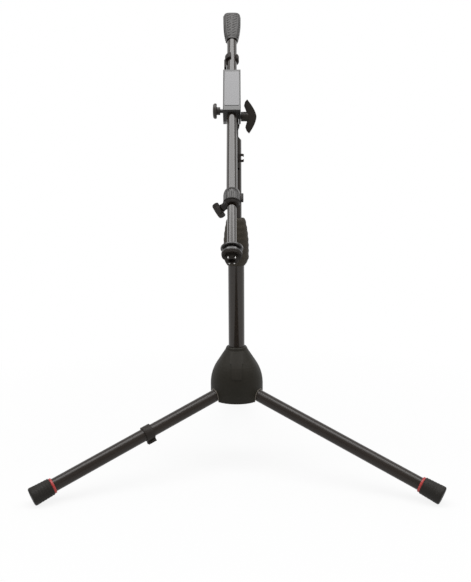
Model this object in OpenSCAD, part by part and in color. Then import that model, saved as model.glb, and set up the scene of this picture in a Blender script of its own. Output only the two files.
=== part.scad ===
// Low tripod microphone stand with a telescoping boom.
// The origin is on the axis of the upright tubes at floor level, the front faces -Y and +Z is up.
// One leg points to the rear and two to the front. The boom leans down to the front.

/* [Legs] */
// Reach of each foot's end from the axis of the upright
leg_reach = 279; // [230:1:330]
// Slope of an opened leg below the horizontal, in degrees
leg_slope = 19.3; // [15:0.1:24]
// Outer diameter of a leg tube
leg_d = 16; // [14:0.5:18]
// Wall of a leg tube
leg_wall = 1.2; // [0.8:0.1:2]
// Distance of a leg's hinge pin from the axis of the upright
leg_pin_r = 24; // [23:0.5:26]
// Diameter of a leg's hinge pin
leg_pin_d = 5; // [4:0.25:6]
// Distance from a hinge pin to the start of the leg tube
leg_gap = 6.5; // [6:0.25:8]
// Length of the root plug inside the leg tube
root_plug = 18; // [10:1:30]
// Width of the eye of a leg root
eye_w = 10; // [8:0.5:12]
// Outer diameter of the eye of a leg root
eye_d = 12; // [10:0.5:13]
// Length of the crank of a leg root
crank_l = 12; // [11:0.25:12.5]
// Width of the crank of a leg root
crank_w = 6; // [5:0.5:8]
// Thickness of the crank of a leg root
crank_t = 3; // [2.4:0.1:3.2]
// Diameter of the round tip of the crank
tip_d = 5; // [4:0.25:5.5]

/* [Feet] */
// Diameter of a rubber foot at its outer end
foot_d = 22.6; // [19:0.1:26]
// Diameter of a rubber foot at its inner end
foot_root_d = 20.8; // [18:0.2:24]
// Length of a rubber foot
foot_l = 25.3; // [18:0.1:35]
// Thickness of the rubber across the end of a leg tube
foot_floor = 4.5; // [3:0.5:8]
// Radius of the rounded end of a foot
foot_round = 2; // [1:0.25:3]
// Diameter of the coloured ring at a foot
ring_d = 19.2; // [17:0.2:22]
// Width of the coloured ring at a foot
ring_w = 3; // [2:0.25:5]

/* [Hub] */
// Widest diameter of the hub housing
hub_d = 70; // [68:0.2:74]
// Height of the hub housing
hub_h = 70.5; // [66:0.5:76]
// Height of the hinge pins above the lower edge of the housing
hub_drop = 10.5; // [9:0.1:11.5]
// Wall of the hub housing
hub_wall = 2.6; // [2:0.1:3]
// How much narrower the lower edge of the housing is than its widest place, on the radius
hub_tuck = 1.6; // [1:0.1:3.5]
// Height of the straight flare above the lower edge
hub_flare = 11; // [8:0.5:14]
// Height above the lower edge where the shoulder begins to curve
hub_shoulder = 20.5; // [16:0.5:24]
// Radius of the shoulder's curve
hub_curve = 52.3; // [45:0.5:60]
// Angle of the cone above the shoulder, from the vertical
hub_cone = 33.6; // [30:0.2:36]
// Width of the housing's rim at its top, beyond the lower tube
hub_rim = 4.1; // [3:0.1:6]
// Height of the solid collar at the top of the housing
hub_collar = 14; // [10:0.5:18]
// Height of the rounded edge at the top of the housing
hub_lip = 3.6; // [2:0.2:5]
// Clearance round a leg in its notch
notch_gap = 0.7; // [0.4:0.1:1.2]
// Thickness of the blank panel on the front of the housing
badge_t = 0.8; // [0.5:0.1:1.5]
// Width of the upper part of the panel
badge_w = 17.6; // [14:0.2:20]
// Width of the lower part of the panel
badge_low_w = 13.4; // [10:0.2:16]
// Distance from the top of the housing to the top of the panel
badge_top = 4.6; // [4:0.2:8]
// Height of the upper part of the panel
badge_h = 14; // [8:0.5:18]
// Height of the lower part of the panel
badge_low_h = 19; // [10:0.5:24]

/* [Hub core] */
// Thickness of the core plate
core_t = 4.5; // [3:0.5:6]
// Height of the core's spigot inside the lower tube
core_spigot = 12; // [8:1:20]
// Thickness of a cheek that holds a hinge pin
cheek_t = 3.5; // [2.5:0.25:4.5]
// Clearance between a leg's eye and a cheek
cheek_gap = 0.4; // [0.3:0.05:0.8]
// Radius of the rounded end of a cheek
cheek_r = 5; // [4:0.25:5.5]
// Diameter of the guide post
post_d = 8; // [6:0.5:9]
// Diameter of the spool's flanges
spool_d = 30; // [28.8:0.2:30.2]
// Thickness of a spool flange
spool_flange = 2; // [1.5:0.1:2.4]
// Diameter of the bottom of the spool's groove
spool_root_d = 17; // [12:0.5:17.5]
// Clearance on each side of a crank tip in the groove
groove_gap = 0.35; // [0.3:0.05:0.5]
// Clearance between the spool and the end cap
cap_gap = 1; // [0.5:0.1:3]
// Diameter of the end cap under the spool
cap_d = 27; // [20:0.5:30]
// Thickness of the end cap
cap_t = 3; // [2:0.25:4]
// Diameter of the screw that holds the end cap
cap_screw_d = 4; // [3:0.5:5]

/* [Upright] */
// Outer diameter of the lower tube
low_d = 21.2; // [21:0.1:24]
// Wall of the lower tube
low_wall = 1.5; // [1.2:0.1:1.6]
// Height of the lower tube's top above the floor
low_top = 290.7; // [270:0.1:320]
// Outer diameter of the upper tube
up_d = 14.8; // [14:0.1:15.5]
// Wall of the upper tube
up_wall = 1.2; // [0.8:0.1:2]
// Height of the boom's pivot bolt above the floor
pivot_z = 458.2; // [440:0.2:500]
// Distance from the pivot bolt down to the top of the upper tube
pivot_drop = 29.6; // [27:0.2:36]
// Length of the upper tube
up_l = 215; // [190:1:235]
// Height of the guide bush at the foot of the upper tube
bush_h = 15; // [8:1:25]
// Thickness of the bush's floor under the upper tube
bush_floor = 3; // [2:0.5:5]
// Clearance of the sliding tubes on the radius
slide_gap = 0.1; // [0.05:0.01:0.2]
// Diameter of the small locating hole in the upper tube
vent_d = 2.4; // [1.5:0.1:3]
// Distance from the top of the upper tube down to the locating hole
vent_drop = 36; // [20:1:60]

/* [Twist clutch] */
// Height of the soft grip
grip_h = 62; // [54:1:70]
// Height of the lower tube inside the grip
grip_over = 22.7; // [20:0.1:26]
// Widest diameter of the grip
grip_d = 33.4; // [32.6:0.2:38]
// Diameter of the grip at its top
grip_top_d = 23.2; // [22:0.2:26]
// Diameter of the grip at its lower edge
grip_low_d = 24; // [23.6:0.2:30]
// Height of one ripple of the grip
ripple = 7.6; // [5:0.1:10]
// Depth of the ripples of the grip
ripple_depth = 0.4; // [0.2:0.05:0.6]
// Thickness of the clutch body on the lower tube
clutch_t = 2.2; // [1.8:0.1:2.4]
// Height of the clutch body above the end of the lower tube
clutch_lip = 4; // [3:0.5:6]
// Height of the collet
collet_h = 17; // [14:0.5:20]
// Wall of the collet at its foot
collet_t = 2.9; // [2.4:0.1:3.1]
// Height of the taper at the top of the collet
collet_taper = 8; // [5:0.5:10]
// Width of a slit in the collet
slit_w = 1.2; // [0.8:0.1:2]
// Wall of the clutch nut
nut_wall = 1; // [0.8:0.1:1.1]
// Clearance between the clutch nut and what it turns on
nut_gap = 0.35; // [0.3:0.05:0.5]

/* [Pivot] */
// Diameter of the neck between the upper tube and the tongue
neck_d = 7; // [5:0.25:8]
// Length of the neck's spigot inside the top plug
neck_spigot = 10; // [6:1:12]
// Length of the top plug inside the upper tube
plug_l = 14; // [13:1:24]
// Height of the cone on the top plug
plug_cone = 4.4; // [3:0.2:5]
// Radius of the rounded head of the tongue
tongue_r = 6.2; // [5.5:0.1:6.4]
// Thickness of the tongue between the cheeks
tongue_t = 10; // [8:0.25:10.4]
// How far the tongue is set to the boom's side of the axis
tongue_shift = 1; // [0.5:0.1:1.4]
// Width of the foot of the tongue
foot_w = 10.6; // [9:0.2:12]
// Width of the lower rim of the foot
foot_low_w = 8.4; // [8:0.2:10]
// Height of the foot of the tongue
tongue_foot = 6.6; // [4:0.2:7]
// How far the rim of the foot hangs below its middle
foot_skirt = 2.6; // [1:0.2:3.2]
// Diameter of the pivot bolt
bolt_d = 6; // [5:0.25:6.5]
// Width across the flats of the pivot bolt's head
bolt_af = 10; // [9:0.5:10]
// Depth of the pivot bolt's head
bolt_head = 2.6; // [2:0.1:3]
// Diameter of the friction disc beside the tongue
disc_d = 12; // [10:0.2:12.6]

/* [Boom block] */
// Angle of the boom above the horizontal at its rear
boom_rise = 52.8; // [40:0.2:60]
// Offset of the boom from the axis of the upright, to the left
boom_left = 4.4; // [4:0.1:4.4]
// Distance of the boom's axis from the pivot bolt
boom_off = 14; // [13.9:0.1:15]
// Width of the block
block_w = 22.2; // [21.8:0.1:24]
// Length of the block in front of the pivot bolt
block_front = 12.4; // [11:0.2:15]
// Length of the block behind the pivot bolt
block_rear = 58.5; // [40:0.5:62]
// Distance of the block's face from the boom's axis
block_face = 10.5; // [10:0.1:12]
// Distance of the block's underside from the boom's axis
block_under = 9.2; // [8.8:0.1:9.3]
// Radius of the long edges of the block's face
block_round = 1.6; // [1.2:0.1:3]
// Chamfer at the rear end of the block
block_chamfer = 1.6; // [1:0.1:2.5]
// Radius of the block's cheeks round the pivot bolt
lobe_r = 9.3; // [9:0.1:9.4]
// Thickness of the right cheek
cheek_right = 2.4; // [2.2:0.1:2.6]
// Thickness of the left cheek
cheek_left = 4.4; // [4:0.1:5]
// Distance of the slide knob's screw in front of the pivot bolt
knob_front = 3.5; // [2:0.25:5]
// Diameter of the clamp pads
pad_d = 7; // [6:0.25:8]
// Thickness of the clamp pads
pad_t = 1.8; // [1.4:0.1:1.9]

/* [Knobs] */
// Diameter of the slide knob's head
knob_d = 19; // [17:0.5:21]
// Thickness of the slide knob's head
knob_t = 4.6; // [4:0.1:7]
// Diameter of the step behind a knob's head
knob_step_d = 9.6; // [8.8:0.2:13]
// Length of the step behind a knob's head
knob_step = 4.4; // [3:0.2:7]
// Length of bare screw between a knob and what it screws into
knob_neck = 3.5; // [2.5:0.25:5]
// Diameter of the knob screws
knob_screw_d = 5; // [4:0.25:6]
// Diameter of the collar knob's head
tele_knob_d = 19.4; // [16:0.2:21]
// Thickness of the collar knob's head
tele_knob_t = 5.2; // [4:0.1:7]
// Width of the collar knob's head across its two wings
tele_knob_w = 7; // [6:0.5:12]
// Turn of the collar knob on its screw at rest
tele_knob_turn = 46; // [0:2:90]
// Diameter of the stem of the wing handle
stem_d = 12; // [11:0.2:14]
// Length of the stem of the wing handle
stem_l = 8; // [7:0.5:11]
// Height of the wings of the handle
wing_h = 42; // [34:0.5:46]
// Reach of the wings from the block to the outermost edge
wing_out = 20; // [17:0.5:24]
// Thickness of the wings of the handle
wing_t = 8; // [6:0.25:10]
// How far the wings lean, at their tips
wing_lean = 1.2; // [0:0.1:2]

/* [Boom] */
// Outer diameter of the boom's outer tube
boom_d = 12.9; // [12.4:0.1:13.4]
// Wall of the boom's outer tube
boom_wall = 0.9; // [0.8:0.05:0.95]
// Outer diameter of the boom's inner tube
inner_d = 10.5; // [10:0.1:10.7]
// Wall of the boom's inner tube
inner_wall = 1; // [0.8:0.1:1.2]
// Distance from the pivot bolt to the front end of the outer tube
boom_front = 134; // [128:0.5:150]
// Distance from the pivot bolt to the rear end of the outer tube
boom_rear = 158; // [150:1:175]
// Length of inner tube that shows at rest
inner_show = 57; // [52:0.5:80]
// Length of inner tube inside the boom at rest
inner_hidden = 185; // [150:1:200]
// Length of the guide bush at the rear end of the inner tube
inner_bush = 8; // [5:0.5:12]

/* [Counterweight] */
// Distance from the pivot bolt to the front end of the counterweight
weight_at = 118.5; // [108:0.5:120]
// Length of the counterweight
weight_l = 44.5; // [42:0.5:60]
// Width of the counterweight across its flats
weight_w = 22.8; // [20:0.2:26]
// Diameter of the counterweight over its rounded corners
weight_d = 27; // [24:0.2:30]
// Width of the counterweight at its front end
weight_front_w = 14.4; // [14.2:0.1:18]
// Radius of the counterweight's rear edge
weight_round = 2.5; // [1:0.5:5]
// Wall of the steel core inside the counterweight
core_wall = 2; // [1:0.1:2.4]

/* [Telescope collar] */
// Length of the collar
collar_l = 21; // [20:0.5:26]
// Length of outer tube inside the collar
collar_grip = 7; // [5:0.5:8]
// Diameter of the collar
collar_d = 20.4; // [20:0.2:23]
// Diameter of the collar at its rear end
collar_root_d = 15.6; // [15.2:0.2:18]
// Length of the collar's nose in front of its lip
collar_nose = 4; // [2:0.25:5]
// Diameter of the front end of the collar's nose
collar_nose_d = 17.4; // [16.6:0.1:19]
// Length of the collar's shoulder
collar_shoulder = 5; // [3:0.5:7]
// Number of flutes round the collar
flutes = 14; // [8:1:18]
// Depth of the flutes
flute_depth = 0.45; // [0.2:0.05:0.6]
// Distance from the collar's front end to its screw
tele_screw_at = 6.4; // [5:0.2:8]
// Angle of the collar's screw below the left side
tele_screw_a = 50; // [35:1:60]
// Reach of the screw boss from the boom's axis
boss_out = 15.4; // [14:0.2:18]
// Diameter of the screw boss
boss_d = 9; // [8:0.2:9.2]
// Reach of the lug on the right of the collar, from the boom's axis
lug_out = 13.6; // [12:0.2:15]
// Height of the lug on the right of the collar
lug_h = 5; // [4:0.25:7]
// Length of the lug along the boom
lug_l = 10; // [6:0.5:11]
// Distance from the collar's front end to the lug
lug_at = 8; // [5:0.5:8.5]

/* [Microphone end] */
// Diameter of the threaded stud, over the thread
stud_d = 15.875; // [14:0.125:16]
// Length of the stud in front of the flange
stud_l = 15; // [13:0.5:24]
// Diameter of the bore in the stud's end
stud_bore_d = 8; // [4:0.2:9]
// Depth of the bore in the stud's end
stud_bore = 7; // [4:0.5:9]
// Diameter of the flange behind the stud
flange_d = 25.4; // [22:0.2:30]
// Thickness of the flange
flange_t = 2.5; // [2:0.25:5]
// Length of the adapter inside the inner tube
adapter_plug = 20; // [10:1:30]
// Diameter of the lock ring
lock_d = 23.4; // [21:0.2:28]
// Thickness of the lock ring's rim
lock_t = 3.4; // [1.5:0.1:4]
// Diameter of the hub behind the lock ring's rim
lock_hub_d = 19; // [18:0.2:20.6]
// Length of the hub behind the lock ring's rim
lock_hub = 4.1; // [1.5:0.1:4.5]
// Length of the sloped front of the lock ring
lock_cone = 1.6; // [1:0.2:4]
// Diameter of the lock ring at its front end
lock_nose_d = 22.4; // [20:0.2:23]
// How much the stud is turned down behind its free thread, on the radius
stud_relief = 0.45; // [0.3:0.05:0.8]
// Clearance of the lock ring on the stud
lock_gap = 0.2; // [0.1:0.05:0.3]

/* [Cable clips] */
// Wall of the cable clips
clip_wall = 1.9; // [1.5:0.1:2.4]
// Length of the clip on the leg
leg_clip_l = 11; // [8:0.5:16]
// Distance of the clip on the leg from the leg's hinge pin
leg_clip_at = 107; // [80:1:160]
// Height of the clip on the upper tube
tube_clip_h = 9; // [7:0.5:14]
// Distance of the clip from the top of the upper tube
tube_clip_drop = 27; // [17:0.5:31]
// Length of the clip on the boom
boom_clip_l = 8; // [6:0.5:12]
// Distance of the clip on the boom behind the pivot bolt
boom_clip_at = 82; // [80:0.5:90]
// Wall of the clip on the boom
boom_clip_wall = 2.7; // [2:0.1:3]
// Length of the cable arm in front of the clip on the boom
boom_arm = 13; // [6:0.5:13]
// Thickness of the cable arm
boom_arm_t = 3.2; // [2:0.1:3.6]
// Width of the cable arm
boom_arm_w = 6; // [4:0.5:8]
// Width of the mouth of the clip on the boom, as an angle
boom_mouth = 58; // [50:2:80]
// Turn of the mouth of the clip on the boom from the right side towards the face of the boom
boom_mouth_turn = 70; // [60:2:90]
// Gap between the cable arm and the boom
boom_arm_gap = 0.4; // [0.2:0.05:0.8]
// Inner diameter of a cable claw
claw_d = 4.6; // [4:0.1:6]
// Wall of the cable claw on the leg
claw_wall = 1.3; // [1:0.1:2]
// Wall of the cable claw on the upper tube
tube_claw_wall = 3; // [1.5:0.1:3.4]
// Width of the cable claw on the upper tube
tube_claw_w = 4.5; // [3:0.5:6]
// Width of the mouth of a clip on its tube, as an angle
clip_mouth = 100; // [80:2:120]

/* [Hidden] */
$fn = 64;
leg_az = [210, 330, 90];
leg_fold = 90 - leg_slope;
leg_end = (leg_reach - leg_pin_r) / cos(leg_slope);
leg_pin_z = (leg_end - foot_round) * sin(leg_slope) + (foot_d / 2 - foot_round) * cos(leg_slope) + foot_round;
crank_a = leg_fold / 2 + leg_slope;
pin_gap = 0.05;
cheek_in = eye_w / 2 + cheek_gap;
cheek_out = cheek_in + cheek_t;

hub_z = leg_pin_z - hub_drop;
hub_top = hub_z + hub_h;
hub_ceiling = hub_top - hub_collar;
hub_cone_z = hub_z + hub_shoulder + hub_curve * sin(hub_cone);
hub_slope = (hub_d / 2 - hub_curve + hub_curve * cos(hub_cone) - low_d / 2 - hub_rim)
    / (hub_top - hub_lip - hub_cone_z);

spool_z = leg_pin_z - crank_l * sin(leg_fold / 2);
groove_h = tip_d + 2 * groove_gap;
spool_low = spool_z - groove_h / 2 - spool_flange;
spool_high = spool_z + groove_h / 2 + spool_flange;
spool_travel = 2 * crank_l * sin(leg_fold / 2);
core_z = spool_high + spool_travel + 0.9;
core_top = core_z + core_t;
cap_top = spool_low - cap_gap;

up_top = pivot_z - pivot_drop;
up_foot = up_top - up_l;
low_bore = low_d / 2 - low_wall;
grip_z = low_top - grip_over;
grip_top = grip_z + grip_h;
clutch_r = low_d / 2 + clutch_t;
collet_z = low_top + clutch_lip + 0.2;
collet_r = up_d / 2 + slide_gap;
collet_thin = 1.2;
nut_in = clutch_r + nut_gap;
nut_cone_z = collet_z + collet_h - collet_taper;
nut_bore = up_d / 2 + nut_gap;
nut_z = grip_z + 0.12 * grip_h;
nut_top = grip_top - 2;

tongue_x = boom_left - tongue_shift;
tongue_bottom = -lobe_r - 0.5 - tongue_foot;
bore_r = boom_d / 2 + slide_gap;
face_z = boom_off + block_face;
under_z = boom_off - block_under;

inner_r = inner_d / 2;
collar_back = -boom_front + collar_grip;
collar_front = collar_back - collar_l;
flange_back = collar_front - inner_show;
stud_end = flange_back - flange_t - stud_l;
stud_shoulder = flange_back - flange_t - 0.35 - lock_hub - lock_t - lock_cone - 0.3;
tele_y = collar_front + tele_screw_at;
core_y = weight_at + weight_l * 0.4;

paint = "#1c1c1c";
moulding = "#26251f";
rubber = "#2b2a27";
steel = "#8d8f92";
red = "#a33a36";

// Points of an arc round (cx, cy) from angle a0 to a1
function arc(cx, cy, r, a0, a1, n = 6) =
    [for (i = [0:n]) let (a = a0 + (a1 - a0) * i / n) [cx + r * cos(a), cy + r * sin(a)]];

function reversed(list) = [for (i = [len(list) - 1:-1:0]) list[i]];

// A ring with its foot at z0 and its top at z1
module ring(z0, z1, r_out, r_in) {
    translate([0, 0, z0]) difference() {
        cylinder(r = r_out, h = z1 - z0);
        translate([0, 0, -1]) cylinder(r = r_in, h = z1 - z0 + 2);
    }
}

// Leg frame: the origin is on the hinge pin, +X runs down the leg to its foot
module on_leg(i) {
    rotate([0, 0, leg_az[i]]) translate([leg_pin_r, 0, leg_pin_z]) rotate([0, leg_slope, 0]) children();
}

// Turns a solid made along Z so that it lies along the leg
module lengthwise() {
    rotate([0, 90, 0]) children();
}

// Boom frame: the origin is on the pivot bolt in the boom's plane, +Y runs up to the counterweight,
// +Z points to the boom, square to it
module on_boom() {
    translate([-boom_left, 0, pivot_z]) rotate([boom_rise, 0, 0]) children();
}

// Solid of revolution round the boom's axis, from points of radius and distance along the boom
module boom_turned(points) {
    translate([0, 0, boom_off]) rotate([-90, 0, 0]) rotate_extrude() polygon(points);
}

// Cylinder round the boom's axis from y0 to y1
module boom_rod(y0, y1, r) {
    translate([0, y0, boom_off]) rotate([-90, 0, 0]) cylinder(r = r, h = y1 - y0);
}

module boom_ring(y0, y1, r_out, r_in) {
    difference() {
        boom_rod(y0, y1, r_out);
        boom_rod(y0 - 1, y1 + 1, r_in);
    }
}

// Frame of a knob on the boom's left: +Z points out along its screw, the origin is on the boom's axis
module on_slide_screw() {
    translate([0, -knob_front, boom_off]) rotate([0, -90, 0]) children();
}

module on_tele_screw() {
    translate([0, tele_y, boom_off]) rotate([0, -90 - tele_screw_a, 0]) children();
}

// A round knob with a step, its screw hole open at the step
module knob(z0, head_d, head_t) {
    edge = min(1.4, head_t / 3.2);
    translate([0, 0, z0]) difference() {
        rotate_extrude() polygon(concat(
            [[0, 0], [knob_step_d / 2, 0], [knob_step_d / 2, knob_step], [head_d / 2 - edge, knob_step]],
            arc(head_d / 2 - edge, knob_step + edge, edge, -60, 0, 3),
            [[head_d / 2, knob_step + head_t - 2 * edge]],
            arc(head_d / 2 - 2 * edge, knob_step + head_t - 2 * edge, 2 * edge, 20, 80, 4),
            [[0, knob_step + head_t + 0.4]]));
        translate([0, 0, -1]) cylinder(d = knob_screw_d, h = knob_step + 2);
    }
}

// Outline of the hub housing from its lower edge to the end of its shoulder, moved in by inset
function hub_side(inset) = concat(
    [[hub_d / 2 - hub_tuck - inset, hub_z], [hub_d / 2 - inset, hub_z + hub_flare]],
    arc(hub_d / 2 - hub_curve, hub_z + hub_shoulder, hub_curve - inset, 0, hub_cone, 8));

// Radius of the hub's cone at height z
function hub_cone_r(z, inset) =
    hub_d / 2 - hub_curve + (hub_curve - inset) * cos(hub_cone)
    - (z - hub_cone_z + inset * sin(hub_cone)) * hub_slope;

// Radius of the hub's shoulder at height z
function hub_shoulder_r(z, inset) =
    hub_d / 2 - hub_curve + sqrt(pow(hub_curve - inset, 2) - pow(z - hub_z - hub_shoulder, 2));

function hub_outer(inset) = concat(hub_side(inset), [
    [hub_cone_r(hub_top - hub_lip, inset), hub_top - hub_lip],
    [hub_cone_r(hub_top - hub_lip, inset) - hub_lip * 0.22, hub_top - hub_lip * 0.35],
    [hub_cone_r(hub_top - hub_lip, inset) - hub_lip * 0.5, hub_top]]);

// Room for a leg that swings from its opened place straight down
module leg_notch(i) {
    r = leg_d / 2 + notch_gap;
    on_leg(i) {
        translate([1, 0, 0]) lengthwise() cylinder(r = r, h = hub_d / 2);
        translate([1, -r, -3 * leg_d]) cube([hub_d / 2, 2 * r, 3 * leg_d]);
    }
}

module hub_housing() {
    color(moulding) difference() {
        rotate_extrude() polygon(concat(
            hub_outer(0),
            [[low_d / 2, hub_top], [low_d / 2, hub_ceiling]],
            [[hub_cone_r(hub_ceiling, hub_wall), hub_ceiling]],
            reversed(hub_side(hub_wall))));
        for (i = [0:2]) leg_notch(i);
    }
}

module hub_badge() {
    z1 = hub_top - badge_top;
    z0 = z1 - badge_h;
    color(moulding) intersection() {
        difference() {
            rotate_extrude() polygon(concat([[0, hub_z]], hub_outer(-badge_t), [[0, hub_top]]));
            rotate_extrude() polygon(concat([[0, hub_z - 1]], [[hub_d / 2 - hub_tuck, hub_z - 1]],
                hub_outer(0), [[low_d / 2 + hub_rim - hub_lip * 0.5, hub_top + 1], [0, hub_top + 1]]));
        }
        union() {
            translate([-badge_w / 2, -hub_d, z0]) cube([badge_w, hub_d, badge_h]);
            translate([-badge_low_w / 2, -hub_d, z0 - badge_low_h])
                cube([badge_low_w, hub_d, badge_low_h + 1]);
        }
    }
}

module hub_core() {
    core_r = hub_shoulder_r(core_top, hub_wall) - 0.1;
    color(moulding) {
        difference() {
            union() {
                translate([0, 0, core_z]) cylinder(r = core_r, h = core_t);
                translate([0, 0, core_z]) cylinder(r = low_bore - 0.05, h = core_t + core_spigot);
                for (i = [0:2], side = [-1, 1]) rotate([0, 0, leg_az[i]])
                    translate([leg_pin_r, side * (cheek_in + cheek_t / 2), 0]) {
                        translate([-cheek_r, -cheek_t / 2, leg_pin_z])
                            cube([2 * cheek_r, cheek_t, core_z - leg_pin_z + 1]);
                        translate([0, 0, leg_pin_z]) rotate([90, 0, 0])
                            cylinder(r = cheek_r, h = cheek_t, center = true);
                    }
            }
            for (i = [0:2]) rotate([0, 0, leg_az[i]]) translate([leg_pin_r, 0, leg_pin_z])
                rotate([90, 0, 0]) cylinder(d = leg_pin_d, h = 2 * cheek_out + 2, center = true);
            translate([0, 0, core_z - 1]) cylinder(d = post_d, h = core_t + core_spigot + 2);
        }
    }
}

module leg_pins() {
    head = 1;
    color(steel) for (i = [0:2]) rotate([0, 0, leg_az[i]]) translate([leg_pin_r, 0, leg_pin_z])
        rotate([90, 0, 0]) {
            cylinder(d = leg_pin_d, h = 2 * cheek_out, center = true);
            for (side = [-1, 1]) translate([0, 0, side * (cheek_out + head / 2)])
                cylinder(d = leg_pin_d + 2, h = head, center = true);
        }
}

module guide_post() {
    color(steel) difference() {
        translate([0, 0, cap_top]) cylinder(d = post_d, h = core_top + core_spigot / 2 - cap_top);
        translate([0, 0, cap_top - 1]) cylinder(d = cap_screw_d, h = 13);
    }
}

module leg_spool() {
    bore = post_d / 2 + slide_gap;
    color(moulding) rotate_extrude() polygon([
        [bore, spool_low], [spool_d / 2, spool_low], [spool_d / 2, spool_low + spool_flange],
        [spool_root_d / 2, spool_low + spool_flange], [spool_root_d / 2, spool_high - spool_flange],
        [spool_d / 2, spool_high - spool_flange], [spool_d / 2, spool_high], [bore, spool_high]]);
}

module end_cap() {
    color(moulding) ring(cap_top - cap_t, cap_top, cap_d / 2, cap_screw_d / 2);
}

module cap_screw() {
    color(steel) {
        translate([0, 0, cap_top - cap_t]) cylinder(d = cap_screw_d, h = cap_t + 10);
        translate([0, 0, cap_top - cap_t - 2]) cylinder(d = 2 * cap_screw_d, h = 2);
    }
}

module leg_root(i) {
    color(moulding) on_leg(i) difference() {
        union() {
            rotate([90, 0, 0]) cylinder(d = eye_d, h = eye_w, center = true);
            translate([0, -eye_w / 2, -eye_w / 2]) cube([leg_gap + 1, eye_w, eye_w]);
            translate([leg_gap, 0, 0]) lengthwise() cylinder(d = leg_d - 2 * leg_wall, h = root_plug);
            rotate([0, -crank_a, 0]) {
                translate([-crank_l, -crank_w / 2, -crank_t / 2]) cube([crank_l, crank_w, crank_t]);
                translate([-crank_l, 0, 0]) rotate([90, 0, 0])
                    cylinder(d = tip_d, h = crank_w, center = true);
            }
        }
        rotate([90, 0, 0]) cylinder(r = leg_pin_d / 2 + pin_gap, h = eye_w + 2, center = true);
    }
}

module leg_tube(i) {
    color(paint) on_leg(i) lengthwise() ring(leg_gap, leg_end - foot_floor, leg_d / 2, leg_d / 2 - leg_wall);
}

module foot_ring(i) {
    back = leg_end - foot_l;
    color(red) on_leg(i) lengthwise() ring(back - ring_w, back, ring_d / 2, leg_d / 2);
}

module foot(i) {
    back = leg_end - foot_l;
    edge = 0.8;
    color(rubber) on_leg(i) lengthwise() rotate_extrude() polygon(concat(
        [[leg_d / 2, back], [foot_root_d / 2 - edge, back]],
        arc(foot_root_d / 2 - edge, back + edge, edge, -60, 0, 3),
        arc(foot_d / 2 - foot_round, leg_end - foot_round, foot_round, 0, 90, 6),
        [[0, leg_end], [0, leg_end - foot_floor], [leg_d / 2, leg_end - foot_floor]]));
}

// An open ring that snaps on a tube along Z, its mouth towards +X
module snap_ring(tube_d, h, wall, mouth) {
    r = tube_d / 2 + pin_gap;
    big = 2 * (r + wall);
    difference() {
        ring(0, h, r + wall, r);
        translate([0, 0, -1]) linear_extrude(h + 2) polygon([[0, 0],
            [big * cos(mouth / 2), -big * sin(mouth / 2)], [2 * big, 0],
            [big * cos(mouth / 2), big * sin(mouth / 2)]]);
    }
}

// A cable claw along Z, its mouth towards +X, cut off at reach times its inner radius
module claw(h, wall, reach) {
    r = claw_d / 2;
    difference() {
        cylinder(r = r + wall, h = h, center = true);
        cylinder(r = r, h = h + 2, center = true);
        translate([r * reach, -r - wall, -h]) cube([r + wall, 2 * (r + wall), 2 * h]);
        translate([0, -r * 0.7, -h]) cube([r + wall, 1.4 * r, 2 * h]);
    }
}

// The clip on the left leg: its mouth is at the rear, its claw is below
module leg_cable_clip() {
    color(moulding) on_leg(0) translate([leg_clip_at, 0, 0]) rotate([105, 0, 0]) lengthwise() {
        rotate([0, 0, 185]) snap_ring(leg_d, leg_clip_l, clip_wall, clip_mouth);
        translate([0, -leg_d / 2 - clip_wall - claw_d / 2, leg_clip_l / 2]) rotate([0, 0, -90])
            claw(leg_clip_l, claw_wall, 0.6);
    }
}

// The clip on the upper tube: its mouth is at the right, its claw is at the front right
module tube_cable_clip() {
    z = up_top - tube_clip_drop;
    out = up_d / 2 + 0.5;
    color(moulding) {
        translate([0, 0, z]) snap_ring(up_d, tube_clip_h, clip_wall, clip_mouth);
        translate([out, -out - tube_claw_w / 2, z + tube_clip_h / 2]) rotate([90, 0, 0])
            claw(tube_claw_w, tube_claw_wall, 1.1);
    }
}

module lower_tube() {
    color(paint) ring(core_top, low_top, low_d / 2, low_bore);
}

module clutch_body() {
    z0 = nut_z + 1;
    color(moulding) rotate_extrude() polygon([
        [low_d / 2, z0], [clutch_r, z0], [clutch_r, low_top + clutch_lip],
        [up_d / 2 + 0.6, low_top + clutch_lip], [up_d / 2 + 0.6, low_top], [low_d / 2, low_top]]);
}

module clutch_collet() {
    z1 = collet_z + collet_h;
    color(moulding) difference() {
        rotate_extrude() polygon([
            [collet_r, collet_z], [collet_r + collet_t, collet_z],
            [collet_r + collet_t, z1 - collet_taper], [collet_r + collet_thin, z1], [collet_r, z1]]);
        for (a = [0, 90]) rotate([0, 0, a]) translate([-low_d, -slit_w / 2, collet_z + 4])
            cube([2 * low_d, slit_w, collet_h]);
    }
}

// Outer radius of the nut, which the grip is moulded on
function nut_r(z) = let (
    wide = nut_in + nut_wall,
    way = (z - nut_cone_z) / (nut_top - nut_cone_z))
    z < nut_cone_z ? wide : wide - (wide - grip_top_d / 2 + 1.5) * way;

module clutch_nut() {
    z1 = collet_z + collet_h + 0.6;
    color(moulding) rotate_extrude() polygon([
        [nut_in, nut_z], [nut_r(nut_z), nut_z], [nut_r(nut_cone_z), nut_cone_z], [nut_r(nut_top), nut_top],
        [nut_bore, nut_top], [nut_bore, z1 + 1], [collet_r + collet_thin + 2 * nut_gap, z1],
        [collet_r + collet_t + 2 * nut_gap, z1 - collet_taper], [nut_in, z1 - collet_taper - 2]]);
}

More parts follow.
